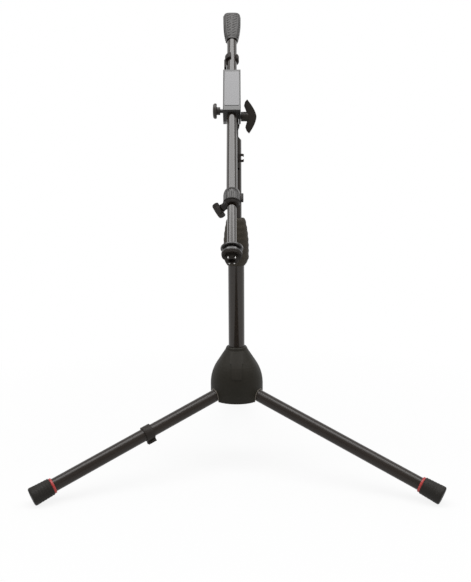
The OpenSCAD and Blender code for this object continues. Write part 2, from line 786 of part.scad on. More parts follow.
// Smooth side of the grip at height z: it swells from the top and draws in at the foot
function grip_side(z) = let (
    from_top = (grip_top - z) / grip_h,
    from_foot = (z - grip_z) / grip_h,
    swell = grip_top_d / 2 + (grip_d - grip_top_d) / 2 * pow(sin(90 * min(1, from_top / 0.62)), 0.8),
    tuck = grip_low_d / 2 + (grip_d - grip_low_d) / 2 * min(1, from_foot / 0.14))
    min(swell, tuck);

function grip_r(z) = grip_side(z) - ripple_depth * (0.5 + 0.5 * cos(360 * (z - grip_z) / ripple));

module clutch_grip() {
    steps = 4 * floor(grip_h / ripple);
    edge = 1.2;
    color(rubber) rotate_extrude() polygon(concat(
        [[low_d / 2 + nut_gap, grip_z]],
        [for (i = [0:steps - 1]) let (z = grip_z + (grip_h - edge) * i / (steps - 1)) [grip_r(z), z]],
        [[grip_r(grip_top) - edge, grip_top], [nut_bore, grip_top], [nut_bore, nut_top],
        [nut_r(nut_top), nut_top], [nut_r(nut_cone_z), nut_cone_z], [nut_r(nut_z), nut_z],
        [low_d / 2 + nut_gap, nut_z]]));
}

module guide_bush() {
    color(moulding) {
        ring(up_foot, up_foot + bush_h, low_bore - slide_gap, up_d / 2 + pin_gap);
        ring(up_foot - bush_floor, up_foot, low_bore - slide_gap, up_d / 2 - 3);
    }
}

module upper_tube() {
    color(paint) difference() {
        ring(up_foot, up_top, up_d / 2, up_d / 2 - up_wall);
        translate([up_d / 4, 0, up_top - vent_drop]) rotate([90, 0, 0]) cylinder(d = vent_d, h = up_d);
    }
}

module top_plug() {
    bore = up_d / 2 - up_wall;
    color(moulding) difference() {
        union() {
            translate([0, 0, up_top - plug_l]) cylinder(r = bore, h = plug_l);
            translate([0, 0, up_top]) cylinder(r1 = up_d / 2, r2 = neck_d / 2 + 0.3, h = plug_cone);
        }
        translate([0, 0, up_top - neck_spigot]) cylinder(d = neck_d, h = neck_spigot + plug_cone + 1);
    }
}

module pivot_tongue() {
    color(moulding) translate([0, 0, pivot_z]) difference() {
        union() {
            translate([-boom_left + tongue_x, 0, 0]) {
                rotate([0, 90, 0]) cylinder(r = tongue_r, h = tongue_t, center = true);
                translate([-tongue_t / 2, -tongue_r, tongue_bottom + tongue_foot - 1])
                    cube([tongue_t, 2 * tongue_r, -tongue_bottom - tongue_foot + 1]);
            }
            rotate([90, 0, 0]) translate([0, 0, -tongue_r]) linear_extrude(2 * tongue_r) polygon([
                [-foot_low_w / 2, tongue_bottom], [-neck_d / 2, tongue_bottom + foot_skirt],
                [neck_d / 2, tongue_bottom + foot_skirt], [foot_low_w / 2, tongue_bottom],
                [foot_w / 2, tongue_bottom + tongue_foot], [-foot_w / 2, tongue_bottom + tongue_foot]]);
            translate([0, 0, -pivot_drop - neck_spigot])
                cylinder(d = neck_d, h = pivot_drop + neck_spigot + tongue_bottom + foot_skirt + 1);
        }
        rotate([0, 90, 0]) cylinder(r = bolt_d / 2 + pin_gap, h = 4 * tongue_t, center = true);
    }
}

// Cross-section of the block: x across the boom, y square to it
module block_section() {
    e = block_round;
    polygon(concat(
        [[-block_w / 2, under_z]],
        arc(-block_w / 2 + e, face_z - e, e, 180, 90, 5),
        arc(block_w / 2 - e, face_z - e, e, 90, 0, 5),
        [[block_w / 2, under_z]]));
}

// Side outline of a cheek, from the block down to its round end at the pivot bolt
module cheek_side() {
    circle(r = lobe_r);
    polygon([[-block_front, under_z + 3], [-lobe_r * 0.9, -lobe_r * 0.44], [0, -lobe_r * 0.2],
        [lobe_r * 0.9, -lobe_r * 0.44], [block_front + 8, under_z + 1], [block_front + 8, boom_off],
        [-block_front, boom_off]]);
}

module cheek(x0, x1) {
    translate([x0, 0, 0]) rotate([90, 0, 90]) linear_extrude(x1 - x0) cheek_side();
}

module boom_block() {
    half = block_w / 2;
    open = tongue_r + 1.3;
    color(moulding) on_boom() difference() {
        union() {
            translate([0, block_rear, 0]) rotate([90, 0, 0]) linear_extrude(block_front + block_rear)
                block_section();
            cheek(-half, -half + cheek_left);
            cheek(half - cheek_right, half);
        }
        boom_rod(-block_front - 1, block_rear + 1, bore_r);
        translate([-half + cheek_left, -block_front - 1, -lobe_r])
            cube([block_w - cheek_left - cheek_right, block_front + 1 + open,
                lobe_r + boom_off - bore_r * 0.7]);
        translate([-half - 1, block_rear - block_chamfer, face_z]) rotate([-45, 0, 0])
            cube([block_w + 2, 4 * block_chamfer, 4 * block_chamfer]);
        translate([-half - 1, -block_front + block_chamfer, face_z]) rotate([135, 0, 0])
            cube([block_w + 2, 4 * block_chamfer, 4 * block_chamfer]);
        rotate([0, 90, 0]) cylinder(r = bolt_d / 2, h = 2 * block_w, center = true);
        translate([-half - 1, 0, 0]) rotate([0, 90, 0])
            cylinder(d = bolt_af * 2 / sqrt(3), h = bolt_head + 1, $fn = 6);
        on_slide_screw() {
            cylinder(r = knob_screw_d / 2 + pin_gap, h = block_w);
            cylinder(d = pad_d, h = bore_r + pad_t + 0.2);
        }
    }
}

module friction_disc() {
    x0 = -block_w / 2 + cheek_left;
    x1 = tongue_x - tongue_t / 2 - 0.3;
    color(rubber) on_boom() translate([x0, 0, 0]) rotate([0, 90, 0]) difference() {
        cylinder(d = disc_d, h = x1 - x0);
        translate([0, 0, -1]) cylinder(d = bolt_d, h = x1 - x0 + 2);
    }
}

module pivot_bolt() {
    half = block_w / 2;
    color(steel) on_boom() {
        translate([-half, 0, 0]) rotate([0, 90, 0])
            cylinder(d = bolt_af * 2 / sqrt(3), h = bolt_head, $fn = 6);
        translate([-half, 0, 0]) rotate([0, 90, 0]) cylinder(d = bolt_d, h = block_w + stem_l);
    }
}

// Outline of one wing, up or down: x out from the block, y from the bolt
function wing_half(way) = let (tip = wing_h / 2) [
    for (p = concat(
        [[stem_l - 0.6, 0], [stem_l - 0.6, 0.31], [stem_l - 3, 0.64], [stem_l + 1.4, 1]],
        [for (k = [0.86, 0.72, 0.58, 0.44, 0.3, 0.18, 0])
            [wing_out - (wing_out - stem_l - 1.4) * pow(k, 1.6), k]]))
    [p[0] - way * wing_lean * p[1], way * tip * p[1]]];

module wing_handle() {
    gap = 0.3;
    color(moulding) on_boom() translate([block_w / 2, 0, 0]) difference() {
        union() {
            translate([gap, 0, 0]) rotate([0, 90, 0]) cylinder(d = stem_d, h = stem_l + 2);
            rotate([90 - boom_rise, 0, 0]) translate([0, 0, -wing_t / 2]) linear_extrude(wing_t) {
                polygon(wing_half(1));
                polygon(wing_half(-1));
            }
        }
        rotate([0, 90, 0]) cylinder(r = bolt_d / 2 + pin_gap, h = stem_l + 0.5);
    }
}

module slide_knob() {
    color(moulding) on_boom() on_slide_screw() knob(block_w / 2 + knob_neck, knob_d, knob_t);
}

module slide_knob_screw() {
    z0 = bore_r + pad_t + 0.3;
    color(steel) on_boom() on_slide_screw()
        translate([0, 0, z0]) cylinder(d = knob_screw_d, h = block_w / 2 + knob_neck + knob_step - z0);
}

module slide_pad() {
    color(moulding) on_boom() on_slide_screw()
        translate([0, 0, bore_r + 0.2]) cylinder(d = pad_d, h = pad_t);
}

module boom_outer_tube() {
    color(paint) on_boom() boom_ring(-boom_front, boom_rear, boom_d / 2, boom_d / 2 - boom_wall);
}

// The clip on the boom: its mouth faces forward and right, its cable arm runs down the left of the boom
module boom_cable_clip() {
    arm_x = -boom_d / 2 - boom_arm_gap - boom_arm_t;
    color(moulding) on_boom() translate([0, boom_clip_at, boom_off]) rotate([-90, 0, 0]) {
        rotate([0, 0, -boom_mouth_turn]) snap_ring(boom_d, boom_clip_l, boom_clip_wall, boom_mouth);
        translate([arm_x, -boom_arm_w / 2, -boom_arm]) cube([boom_arm_t, boom_arm_w, boom_arm + 1]);
    }
}

// Half outline of the counterweight: points of half width and distance along the boom
function weight_side(front, rear) = let (
    y1 = weight_at + weight_l,
    e = weight_round) concat(
    [for (k = [0:7])
        [front + (rear - front) * pow(sin(90 * k / 7), 0.9), weight_at + weight_l * 0.87 * k / 7]],
    arc(rear - e, y1 - e, e, 0, 90, 5));

module weight_flat() {
    side = weight_side(weight_front_w / 2, weight_w / 2);
    linear_extrude(weight_d, center = true)
        polygon(concat(side, reversed([for (p = side) [-p[0], p[1]]])));
}

module counterweight() {
    corner = weight_d / weight_w;
    color(rubber) on_boom() difference() {
        intersection() {
            boom_turned(concat([[0, weight_at]], weight_side(weight_front_w / 2 * corner, weight_d / 2),
                [[0, weight_at + weight_l]]));
            translate([0, 0, boom_off]) weight_flat();
            translate([0, 0, boom_off]) rotate([0, 90, 0]) weight_flat();
        }
        boom_rod(weight_at - 1, boom_rear, boom_d / 2);
        boom_rod(core_y, boom_rear, boom_d / 2 + core_wall);
    }
}

module weight_core() {
    color(steel) on_boom() boom_ring(core_y, boom_rear, boom_d / 2 + core_wall, boom_d / 2);
}

module telescope_collar() {
    r = collar_d / 2;
    y0 = collar_front;
    y1 = collar_back;
    mouth = inner_r + 2.2;
    color(moulding) on_boom() difference() {
        union() {
            boom_turned([
                [0, y0], [collar_nose_d / 2 - 0.6, y0], [collar_nose_d / 2, y0 + 0.6],
                [r - 0.7, y0 + collar_nose], [r, y0 + collar_nose + 0.3], [r - 0.2, y1 - collar_shoulder],
                [(r + collar_root_d / 2) / 2 + 0.4, y1 - collar_shoulder * 0.4],
                [collar_root_d / 2, y1], [0, y1]]);
            on_tele_screw() cylinder(d = boss_d, h = boss_out);
            translate([0, y0 + lug_at, boom_off - lug_h]) cube([lug_out, lug_l, lug_h]);
        }
        boom_rod(-boom_front, y1 + 1, boom_d / 2);
        boom_rod(y0 - 1, -boom_front + 1, mouth);
        on_tele_screw() cylinder(r = knob_screw_d / 2 + pin_gap, h = boss_out + 1);
        on_tele_screw() cylinder(d = pad_d, h = mouth + 0.5);
        for (k = [0:flutes - 1]) let (a = 180 * (k + 0.5) / flutes)
            translate([(r + 0.9) * cos(a), y0 + collar_nose + 1, boom_off + (r + 0.9) * sin(a)])
                rotate([-90, 0, 0]) cylinder(r = 0.9 + flute_depth, h = collar_l, $fn = 16);
    }
}

module collar_bush() {
    mouth = inner_r + 2.2;
    color(moulding) on_boom() difference() {
        boom_ring(collar_front + 0.8, -boom_front, mouth, inner_r + slide_gap);
        on_tele_screw() cylinder(d = pad_d, h = 2 * mouth);
    }
}

module collar_knob() {
    z0 = boss_out + knob_neck * 0.6;
    color(moulding) on_boom() on_tele_screw() rotate([0, 0, tele_knob_turn]) intersection() {
        knob(z0, tele_knob_d, tele_knob_t);
        union() {
            translate([0, 0, z0]) cylinder(d = knob_step_d, h = knob_step + tele_knob_t + 1);
            translate([-tele_knob_d / 2, -tele_knob_w / 2, z0])
                cube([tele_knob_d, tele_knob_w, knob_step + tele_knob_t + 1]);
        }
    }
}

module collar_knob_screw() {
    z0 = inner_r + pad_t + 0.3;
    color(steel) on_boom() on_tele_screw()
        translate([0, 0, z0]) cylinder(d = knob_screw_d, h = boss_out + knob_neck * 0.6 + knob_step - z0);
}

module collar_pad() {
    color(moulding) on_boom() on_tele_screw()
        translate([0, 0, inner_r + 0.2]) cylinder(d = pad_d, h = pad_t);
}

module boom_inner_tube() {
    color(paint) on_boom()
        boom_ring(flange_back, collar_front + inner_hidden, inner_r, inner_r - inner_wall);
}

module inner_bush() {
    end = collar_front + inner_hidden;
    color(moulding) on_boom() {
        boom_ring(end, end + 2, boom_d / 2 - boom_wall - 0.05, inner_r - inner_wall - 1.5);
        boom_ring(end - inner_bush, end, inner_r - inner_wall, inner_r - inner_wall - 1.5);
    }
}

module mic_adapter() {
    r = stud_d / 2;
    color(steel) on_boom() difference() {
        union() {
            boom_rod(flange_back, flange_back + adapter_plug, inner_r - inner_wall);
            boom_rod(flange_back - flange_t, flange_back, flange_d / 2);
            boom_rod(stud_end, stud_shoulder, r);
            boom_rod(stud_shoulder, flange_back - flange_t, r - stud_relief);
        }
        boom_rod(stud_end - 1, stud_end + stud_bore, stud_bore_d / 2);
    }
}

module lock_ring() {
    back = flange_back - flange_t - 0.35;
    rim = back - lock_hub - lock_t;
    bore = stud_d / 2 - stud_relief + lock_gap;
    color(steel) on_boom() boom_turned([
        [bore, back], [lock_hub_d / 2, back], [lock_hub_d / 2, back - lock_hub],
        [lock_d / 2, back - lock_hub], [lock_d / 2, rim],
        [lock_nose_d / 2, rim - lock_cone], [bore, rim - lock_cone]]);
}

hub_housing();
hub_badge();
hub_core();
leg_pins();
guide_post();
leg_spool();
end_cap();
cap_screw();
leg_root(0);  // leg_root_left
leg_root(1);  // leg_root_right
leg_root(2);  // leg_root_rear
leg_tube(0);  // leg_tube_left
leg_tube(1);  // leg_tube_right
leg_tube(2);  // leg_tube_rear
foot_ring(0);  // foot_ring_left
foot_ring(1);  // foot_ring_right
foot_ring(2);  // foot_ring_rear
foot(0);  // foot_left
foot(1);  // foot_right
foot(2);  // foot_rear
leg_cable_clip();
lower_tube();
clutch_body();
clutch_collet();
clutch_nut();
clutch_grip();
guide_bush();
upper_tube();
top_plug();
pivot_tongue();
tube_cable_clip();
boom_block();
friction_disc();
pivot_bolt();
wing_handle();
slide_knob();
slide_knob_screw();
slide_pad();
boom_outer_tube();
boom_cable_clip();
counterweight();
weight_core();
telescope_collar();
collar_bush();
collar_knob();
collar_knob_screw();
collar_pad();
boom_inner_tube();
inner_bush();
mic_adapter();
lock_ring();
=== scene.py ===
# %% [markdown]
# # A low microphone stand with a telescoping boom
# The real stand is a handful of black steel tubes held together by moulded plastic. The CAD model already
# has every part in its right place, in metres, so Blender only has to dress it: finer shapes where the eye
# would miss them, and a finish on every surface. The model is loaded first.

# %% Load the CAD model
import math

import bmesh
import bpy
from mathutils import Matrix, Vector


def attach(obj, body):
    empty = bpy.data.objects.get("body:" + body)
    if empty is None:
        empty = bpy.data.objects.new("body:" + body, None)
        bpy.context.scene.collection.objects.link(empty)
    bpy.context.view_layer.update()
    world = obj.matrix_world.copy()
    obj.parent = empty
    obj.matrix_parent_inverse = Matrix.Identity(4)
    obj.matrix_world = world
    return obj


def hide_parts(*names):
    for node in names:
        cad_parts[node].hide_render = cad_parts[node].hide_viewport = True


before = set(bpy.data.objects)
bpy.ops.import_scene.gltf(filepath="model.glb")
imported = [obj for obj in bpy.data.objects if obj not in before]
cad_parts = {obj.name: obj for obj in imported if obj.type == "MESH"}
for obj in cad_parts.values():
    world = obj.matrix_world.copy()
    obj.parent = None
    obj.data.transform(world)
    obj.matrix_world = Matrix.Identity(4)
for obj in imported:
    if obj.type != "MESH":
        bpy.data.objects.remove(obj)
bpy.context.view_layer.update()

# %% [markdown]
# ## The camera
# The photograph was taken a little above the top of the upright, less than a metre in front of it and
# looking down by some nine degrees. A camera could be turned by its rotation values, but three direction
# vectors say more plainly where it looks, so its matrix is built from ahead, right and up.

# %% Camera
MM = 0.001
CAMERA_PLACE = Vector((0.0030, -0.93344, 0.3753))
CAMERA_DOWN = math.radians(8.63)
CAMERA_YAW = math.radians(-0.25)
CAMERA_ROLL = math.radians(-0.29)

ahead = Vector((math.sin(CAMERA_YAW) * math.cos(CAMERA_DOWN), math.cos(CAMERA_YAW) * math.cos(CAMERA_DOWN),
                -math.sin(CAMERA_DOWN)))
level = Vector((math.cos(CAMERA_YAW), -math.sin(CAMERA_YAW), 0))
upright = level.cross(ahead)
camera_x = math.cos(CAMERA_ROLL) * level + math.sin(CAMERA_ROLL) * upright
camera_y = math.cos(CAMERA_ROLL) * upright - math.sin(CAMERA_ROLL) * level
camera_axes = Matrix((camera_x, camera_y, -ahead)).transposed()

lens = bpy.data.cameras.new("photo_camera")
lens.sensor_width = 36
lens.lens = 44.22
camera = bpy.data.objects.new("photo_camera", lens)
camera.matrix_world = Matrix.Translation(CAMERA_PLACE) @ camera_axes.to_4x4()
bpy.context.scene.collection.objects.link(camera)
bpy.context.scene.camera = camera
print("camera", [round(v, 3) for v in CAMERA_PLACE], "lens", lens.lens)

# %% [markdown]
# ## Places on the stand
# Most pieces are easiest to draw upright at the origin, in millimetres, and then put in place. Each place
# is one matrix, made of the same moves that the CAD model uses. The boom leans, so its own place turns Z
# into the direction up the boom. A leg's place turns Z into the direction down the leg.

# %% Matrices of the boom and the legs
PIVOT_Z = 458.2
BOOM_LEFT = 4.4
BOOM_RISE = 52.8
BOOM_OFF = 14
LEG_PIN_R = 24
LEG_PIN_Z = 99.416
LEG_SLOPE = 19.3
LEG_TURNS = {"left": 210, "right": 330, "rear": 90}


def shifted(x, y, z):
    return Matrix.Translation(Vector((x, y, z)) * MM)


def turned_by(angle, axis):
    return Matrix.Rotation(math.radians(angle), 4, axis)


def leg_place(side):
    hinge = turned_by(LEG_TURNS[side], "Z") @ shifted(LEG_PIN_R, 0, LEG_PIN_Z)
    return hinge @ turned_by(LEG_SLOPE, "Y") @ turned_by(90, "Y")


UPRIGHT = Matrix.Identity(4)
BOOM_PLANE = shifted(-BOOM_LEFT, 0, PIVOT_Z) @ turned_by(BOOM_RISE, "X")
BOOM_AXIS = BOOM_PLANE @ shifted(0, 0, BOOM_OFF) @ turned_by(-90, "X")
print("the boom points to", [round(v, 3) for v in BOOM_AXIS.to_3x3() @ Vector((0, 0, 1))])

# %% [markdown]
# ## Finishes
# The stand has few materials: enamelled steel tube, three kinds of moulded plastic, rubber and plated
# steel. All of them are close to black, so they differ in gloss and grain more than in colour. Each one is
# a Principled shader with a slow change of colour, mostly over some centimetres, as handling and light dust
# give, and a fine grain in the bump. The grain is in millimetres on the object, because Object coordinates
# are metres here. Colours are written as they look on a screen and turned to linear light once. After its two
# colours each finish gives the size of its patches, the size and depth of its grain, and its roughness.

# %% Colour and node helpers
def linear(hex_colour):
    channels = [int(hex_colour[i:i + 2], 16) / 255 for i in (1, 3, 5)]
    return [c / 12.92 if c <= 0.04045 else ((c + 0.055) / 1.055) ** 2.4 for c in channels] + [1]


def add_node(tree, kind, inputs=None, **settings):
    node = tree.nodes.new(kind)
    for key, value in settings.items():
        setattr(node, key, value)
    for key, value in (inputs or {}).items():
        if isinstance(value, bpy.types.NodeSocket):
            tree.links.new(value, node.inputs[key])
        else:
            node.inputs[key].default_value = value
    return node


# %% The recipe of a finish
GLOSS_SPREAD = 0.15


def make_finish(name, slot, dark, light, patch_mm, grain_mm, grain_depth_mm, roughness, **shader):
    material = bpy.data.materials.new(name)
    material.use_nodes = True
    material["slot"] = slot
    tree = material.node_tree
    surface = tree.nodes["Principled BSDF"]
    place = add_node(tree, "ShaderNodeTexCoord").outputs["Object"]
    patches = add_node(tree, "ShaderNodeTexNoise", {"Vector": place, "Scale": 1000 / patch_mm, "Detail": 3.0})
    colour = add_node(tree, "ShaderNodeMix", {0: patches.outputs[0], 6: linear(dark), 7: linear(light)},
                      data_type="RGBA")
    gloss = add_node(tree, "ShaderNodeMapRange", {
        "Value": patches.outputs[0], "From Min": 0.3, "From Max": 0.7,
        "To Min": roughness * (1 - GLOSS_SPREAD), "To Max": roughness * (1 + GLOSS_SPREAD)})
    grain = add_node(tree, "ShaderNodeTexNoise", {"Vector": place, "Scale": 1000 / grain_mm, "Detail": 2.0})
    relief = add_node(tree, "ShaderNodeBump", {"Height": grain.outputs[0], "Distance": grain_depth_mm * MM,
                                               "Strength": 1.0})
    tree.links.new(colour.outputs[2], surface.inputs["Base Color"])
    tree.links.new(gloss.outputs[0], surface.inputs["Roughness"])
    tree.links.new(relief.outputs[0], surface.inputs["Normal"])
    for key, value in shader.items():
        surface.inputs[key.replace("_", " ")].default_value = value
    print("finish", name)
    return material


# %% [markdown]
# Tube: drawn steel with a stoved black enamel. The enamel flows out smooth and leaves only a slow orange
# peel, about 3 mm from crest to crest, so the reflections have crisp edges that waver a little. A thin clear
# top layer over the black gives the bright bands along the boom.

# %% Tube finish
enamel = make_finish("black_enamel_on_tube", "black_tube", "#201a14", "#27201a", 60, 3, 0.0005, 0.13,
                     IOR=1.5, Specular_IOR_Level=0.42, Coat_Weight=0.4, Coat_Roughness=0.1, Coat_IOR=1.5)

# %% [markdown]
# The legs have the same black, but as a satin powder coat without the clear layer, so the lamps draw only
# dim bands along them.

# %% Leg tube finish
leg_enamel = make_finish("satin_powder_coat_on_legs", "black_tube", "#211b16", "#28211c", 60, 2, 0.001, 0.26,
                         IOR=1.5, Specular_IOR_Level=0.34)

# %% [markdown]
# Moulded fittings: black ABS from a spark-eroded mould, which leaves an even matt grain of about half a
# millimetre. The grain traps light, so the fittings reflect less than the tubes and look soft beside them.
# The knobs have a lighter grain, and fingers have rubbed the slide knob greyer and smoother. The lips of the
# notches are painted pale, a painted highlight for the thin bright arc along their rounded edge. The collar
# is nearly polished, but its nose, its lug and its boss are matt. The clips are nylon, which has a duller
# skin.

# %% Moulded plastic finishes
grained_abs = make_finish("grained_abs_of_hub", "black_moulding", "#1f1d17", "#26231c", 40, 0.5, 0.012, 0.5,
                          IOR=1.49, Specular_IOR_Level=0.2)
knob_abs = make_finish("satin_abs_of_knobs", "black_moulding", "#231f1b", "#2b2621", 25, 0.7, 0.006, 0.45,
                       IOR=1.49, Specular_IOR_Level=0.26)
round_knob_abs = make_finish("rubbed_abs_of_slide_knob", "black_moulding", "#34302d", "#3c3835",
                             25, 0.7, 0.006, 0.4, IOR=1.49, Specular_IOR_Level=0.35)
lip_highlight_abs = make_finish("abs_of_notch_lips_painted_pale_for_highlight", "black_moulding", "#5a544c", "#686058", 8, 0.7, 0.003, 0.3,
                      IOR=1.49)
badge_abs = make_finish("smooth_abs_of_panel", "black_moulding", "#221f19", "#27241e", 30, 1.0, 0.003, 0.42,
                        IOR=1.49, Specular_IOR_Level=0.24)
collar_abs = make_finish("polished_abs_of_collar", "black_moulding", "#1a1715", "#221e1b",
                         30, 0.7, 0.002, 0.15,
                         IOR=1.49, Specular_IOR_Level=0.36, Coat_Weight=0.1, Coat_Roughness=0.12)
nose_abs = make_finish("matt_abs_of_collar_nose", "black_moulding", "#1c1917", "#24201d", 30, 0.7, 0.004, 0.4,
                       IOR=1.49, Specular_IOR_Level=0.25)
clip_nylon = make_finish("nylon_of_cable_clips", "black_moulding", "#221e1b", "#2c2622",
                         20, 0.6, 0.005, 0.55, IOR=1.53, Specular_IOR_Level=0.2)

# %% [markdown]
# The boom's block comes from a polished mould, and its flat face carries a glossy plate. Both are left blank
# here.

# %% Block finishes
polished_abs = make_finish("polished_abs_of_block", "glossy_moulding", "#191715", "#201e1c",
                           50, 2.5, 0.002, 0.22, IOR=1.5, Coat_Weight=0.2, Coat_Roughness=0.12)
plate_gloss = make_finish("glossy_plate_of_block", "glossy_moulding", "#232126", "#2a282e",
                          60, 4, 0.0004, 0.16, IOR=1.5, Coat_Weight=0.7, Coat_Roughness=0.1)

# %% [markdown]
# Rubber: the clutch grip is a soft thermoplastic rubber with an olive cast, the counterweight's skin and the
# feet are harder. Rubber scatters light in its own skin, so all three are rough and have a low gloss.

# %% Rubber finishes
grip_rubber = make_finish("soft_rubber_of_grip", "grip_rubber", "#2e2920", "#363027", 30, 0.8, 0.01, 0.6,
                          IOR=1.5, Specular_IOR_Level=0.25)
weight_rubber = make_finish("rubber_skin_of_counterweight", "rubber", "#393736", "#42403e",
                            30, 0.7, 0.006, 0.4, IOR=1.52, Specular_IOR_Level=0.35)
foot_rubber = make_finish("rubber_of_feet", "rubber", "#1c1a17", "#23201c", 25, 0.6, 0.012, 0.62,
                          IOR=1.5, Specular_IOR_Level=0.25)

# %% [markdown]
# The rings at the feet are red polypropylene. Screws and pins are zinc plated and look like dull silver.
# The two clamp screws, the flange and the lock ring's rim are steel with a black chromate, a thin glossy film
# that is dark but has sharp bright edges. The thread and the knurl have a black phosphate coat, which is
# porous and matt. The four glints at the thread's start are painted highlights of near-white steel.

# %% Ring and metal finishes
ring_red = make_finish("red_plastic_of_rings", "red_ring", "#9c2d2b", "#aa3634", 15, 0.6, 0.004, 0.4,
                       IOR=1.49)
zinc_plate = make_finish("zinc_plate_of_screws", "steel", "#7f8184", "#96989b", 6, 0.4, 0.004, 0.36,
                         Metallic=1.0)
black_chromate = make_finish("black_chromate_of_flange", "black_fitting", "#171512", "#201d1a",
                             10, 0.5, 0.002, 0.2, IOR=1.5, Coat_Weight=0.5, Coat_Roughness=0.12)
thread_black = make_finish("black_phosphate_of_thread", "black_fitting", "#211d19", "#2a2622",
                           10, 0.5, 0.004, 0.5, IOR=1.5, Specular_IOR_Level=0.12)
glint_steel = make_finish("near_white_steel_of_painted_glints", "steel", "#e2e1de", "#efeeec", 6, 0.4, 0.002, 0.25,
                         Metallic=1.0)

# %% [markdown]
# Every CAD part gets its finish here. Parts that get a finer shape later are hidden then, and the new piece
# brings its own finish.

# %% Finishes of the CAD parts
CAD_FINISHES = {
    enamel: ["lower_tube", "upper_tube", "boom_outer_tube", "boom_inner_tube"],
    leg_enamel: ["leg_tube_left", "leg_tube_right", "leg_tube_rear"],
    grained_abs: ["hub_housing", "hub_core", "leg_spool", "end_cap", "clutch_body",
                  "clutch_collet", "clutch_nut", "guide_bush", "top_plug", "pivot_tongue", "leg_root_left",
                  "leg_root_right", "leg_root_rear"],
    collar_abs: ["telescope_collar"],
    knob_abs: ["wing_handle", "slide_knob", "slide_pad", "collar_bush", "collar_knob", "collar_pad",
               "inner_bush"],
    clip_nylon: ["leg_cable_clip", "tube_cable_clip", "boom_cable_clip"],
    polished_abs: ["boom_block"],
    badge_abs: ["hub_badge"],
    grip_rubber: ["clutch_grip"],
    weight_rubber: ["counterweight", "friction_disc"],
    foot_rubber: ["foot_left", "foot_right", "foot_rear"],
    ring_red: ["foot_ring_left", "foot_ring_right", "foot_ring_rear"],
    zinc_plate: ["leg_pins", "guide_post", "cap_screw", "pivot_bolt", "weight_core"],
    black_chromate: ["mic_adapter", "lock_ring", "slide_knob_screw", "collar_knob_screw"],
}
for finish, names in CAD_FINISHES.items():
    for name in names:
        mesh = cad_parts[name].data
        mesh.materials.clear()
        mesh.materials.append(finish)
print("CAD parts with a finish", sum(len(names) for names in CAD_FINISHES.values()))

# %% [markdown]
# ## How a new piece is finished
# A new piece is drawn with bmesh at the origin, in millimetres. Most of the stand's parts are turned shapes,
# so one helper spins a profile of (radius, height) points round Z, and another gives the points of a round
# corner in such a profile.

# %% Helpers for turned shapes
def arc(radius, height, size, start, end, steps):
    angles = [math.radians(start + (end - start) * k / steps) for k in range(1, steps + 1)]
    return [(radius + size * math.cos(a), height + size * math.sin(a)) for a in angles]


def turned(profile, steps=96, closed=True):
    bm = bmesh.new()
    points = [bm.verts.new((radius, 0, height)) for radius, height in profile]
    edges = [bm.edges.new(pair) for pair in zip(points, points[1:])]
    if closed:
        edges.append(bm.edges.new((points[-1], points[0])))
    bmesh.ops.spin(bm, geom=points + edges, cent=(0, 0, 0), axis=(0, 0, 1), angle=math.tau, steps=steps,
                   use_merge=True)
    bmesh.ops.remove_doubles(bm, verts=bm.verts, dist=0.0005)
    return bm


# %% [markdown]
# Other pieces start as a block. No moulded edge is a knife edge, and the thin light line along it is what
# shows the form of a black part, so the edges of a block are bevelled.

# %% Helpers for blocks and rounded edges
def add_block(bm, size):
    corners = bmesh.ops.create_cube(bm, size=1)["verts"]
    bmesh.ops.scale(bm, verts=corners, vec=size)
    return corners


def sharp_edges(bm, above):
    return [e for e in bm.edges if e.is_manifold and e.calc_face_angle() > math.radians(above)]


def bevel_edges(bm, edges, width, segments=3):
    bmesh.ops.bevel(bm, geom=edges, offset=width, offset_type="OFFSET", segments=segments, profile=0.5,
                    affect="EDGES", clamp_overlap=True, material=-1)


# %% [markdown]
# The last helper puts the drawing in place, gives it its body and its finish, and hides the CAD parts it
# stands for. Faces that meet at less than the sharp angle are shaded as one smooth surface.

# %% Helpers that make a piece of a drawing
def as_mesh(bm, name):
    mesh = bpy.data.meshes.new(name)
    bm.to_mesh(mesh)
    bm.free()
    return mesh


def place_piece(name, bm, place, body, finish, stands_for=(), sharp=35):
    bmesh.ops.recalc_face_normals(bm, faces=bm.faces)
    bm.transform(place @ Matrix.Scale(MM, 4))
    mesh = as_mesh(bm, name)
    mesh.shade_smooth()
    mesh.set_sharp_from_angle(angle=math.radians(sharp))
    mesh.materials.append(finish)
    piece = bpy.data.objects.new(name, mesh)
    bpy.context.scene.collection.objects.link(piece)
    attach(piece, body)
    if stands_for:
        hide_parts(*stands_for)
    print(name, "has", len(mesh.polygons), "faces")


# %% [markdown]
# ## The boom
# The boom's two tubes are right as the CAD has them: drawn tube is as plain as a shape can be. What sits on
# them is not. The counterweight is a rubber skin over steel, squared but with very round corners. It starts
# as a turned shape, because that gives its long swelling side, and each ring of points is then pulled out
# towards a square. Short slanted ribs stand on its four sides, in two columns.

# %% Profile of the counterweight along the boom
BOOM_REAR = 158
WEIGHT_AT = 118.5
WEIGHT_L = 44.5
WEIGHT_END = WEIGHT_AT + WEIGHT_L
WEIGHT_FRONT_HALF = 7.2
WEIGHT_HALF = 11.4
WEIGHT_ROUND = 2.5
WEIGHT_SWELL = 0.87
WEIGHT_SIDE = 0.94
WEIGHT_BORE_R = 6.5
POCKET_R = 8.45
POCKET_L = 8


def weight_half(z):
    share = min(1.0, max(0.0, (z - WEIGHT_AT) / (WEIGHT_L * WEIGHT_SWELL)))
    return WEIGHT_FRONT_HALF + (WEIGHT_HALF - WEIGHT_FRONT_HALF) * math.sin(share * math.pi / 2) ** 0.9


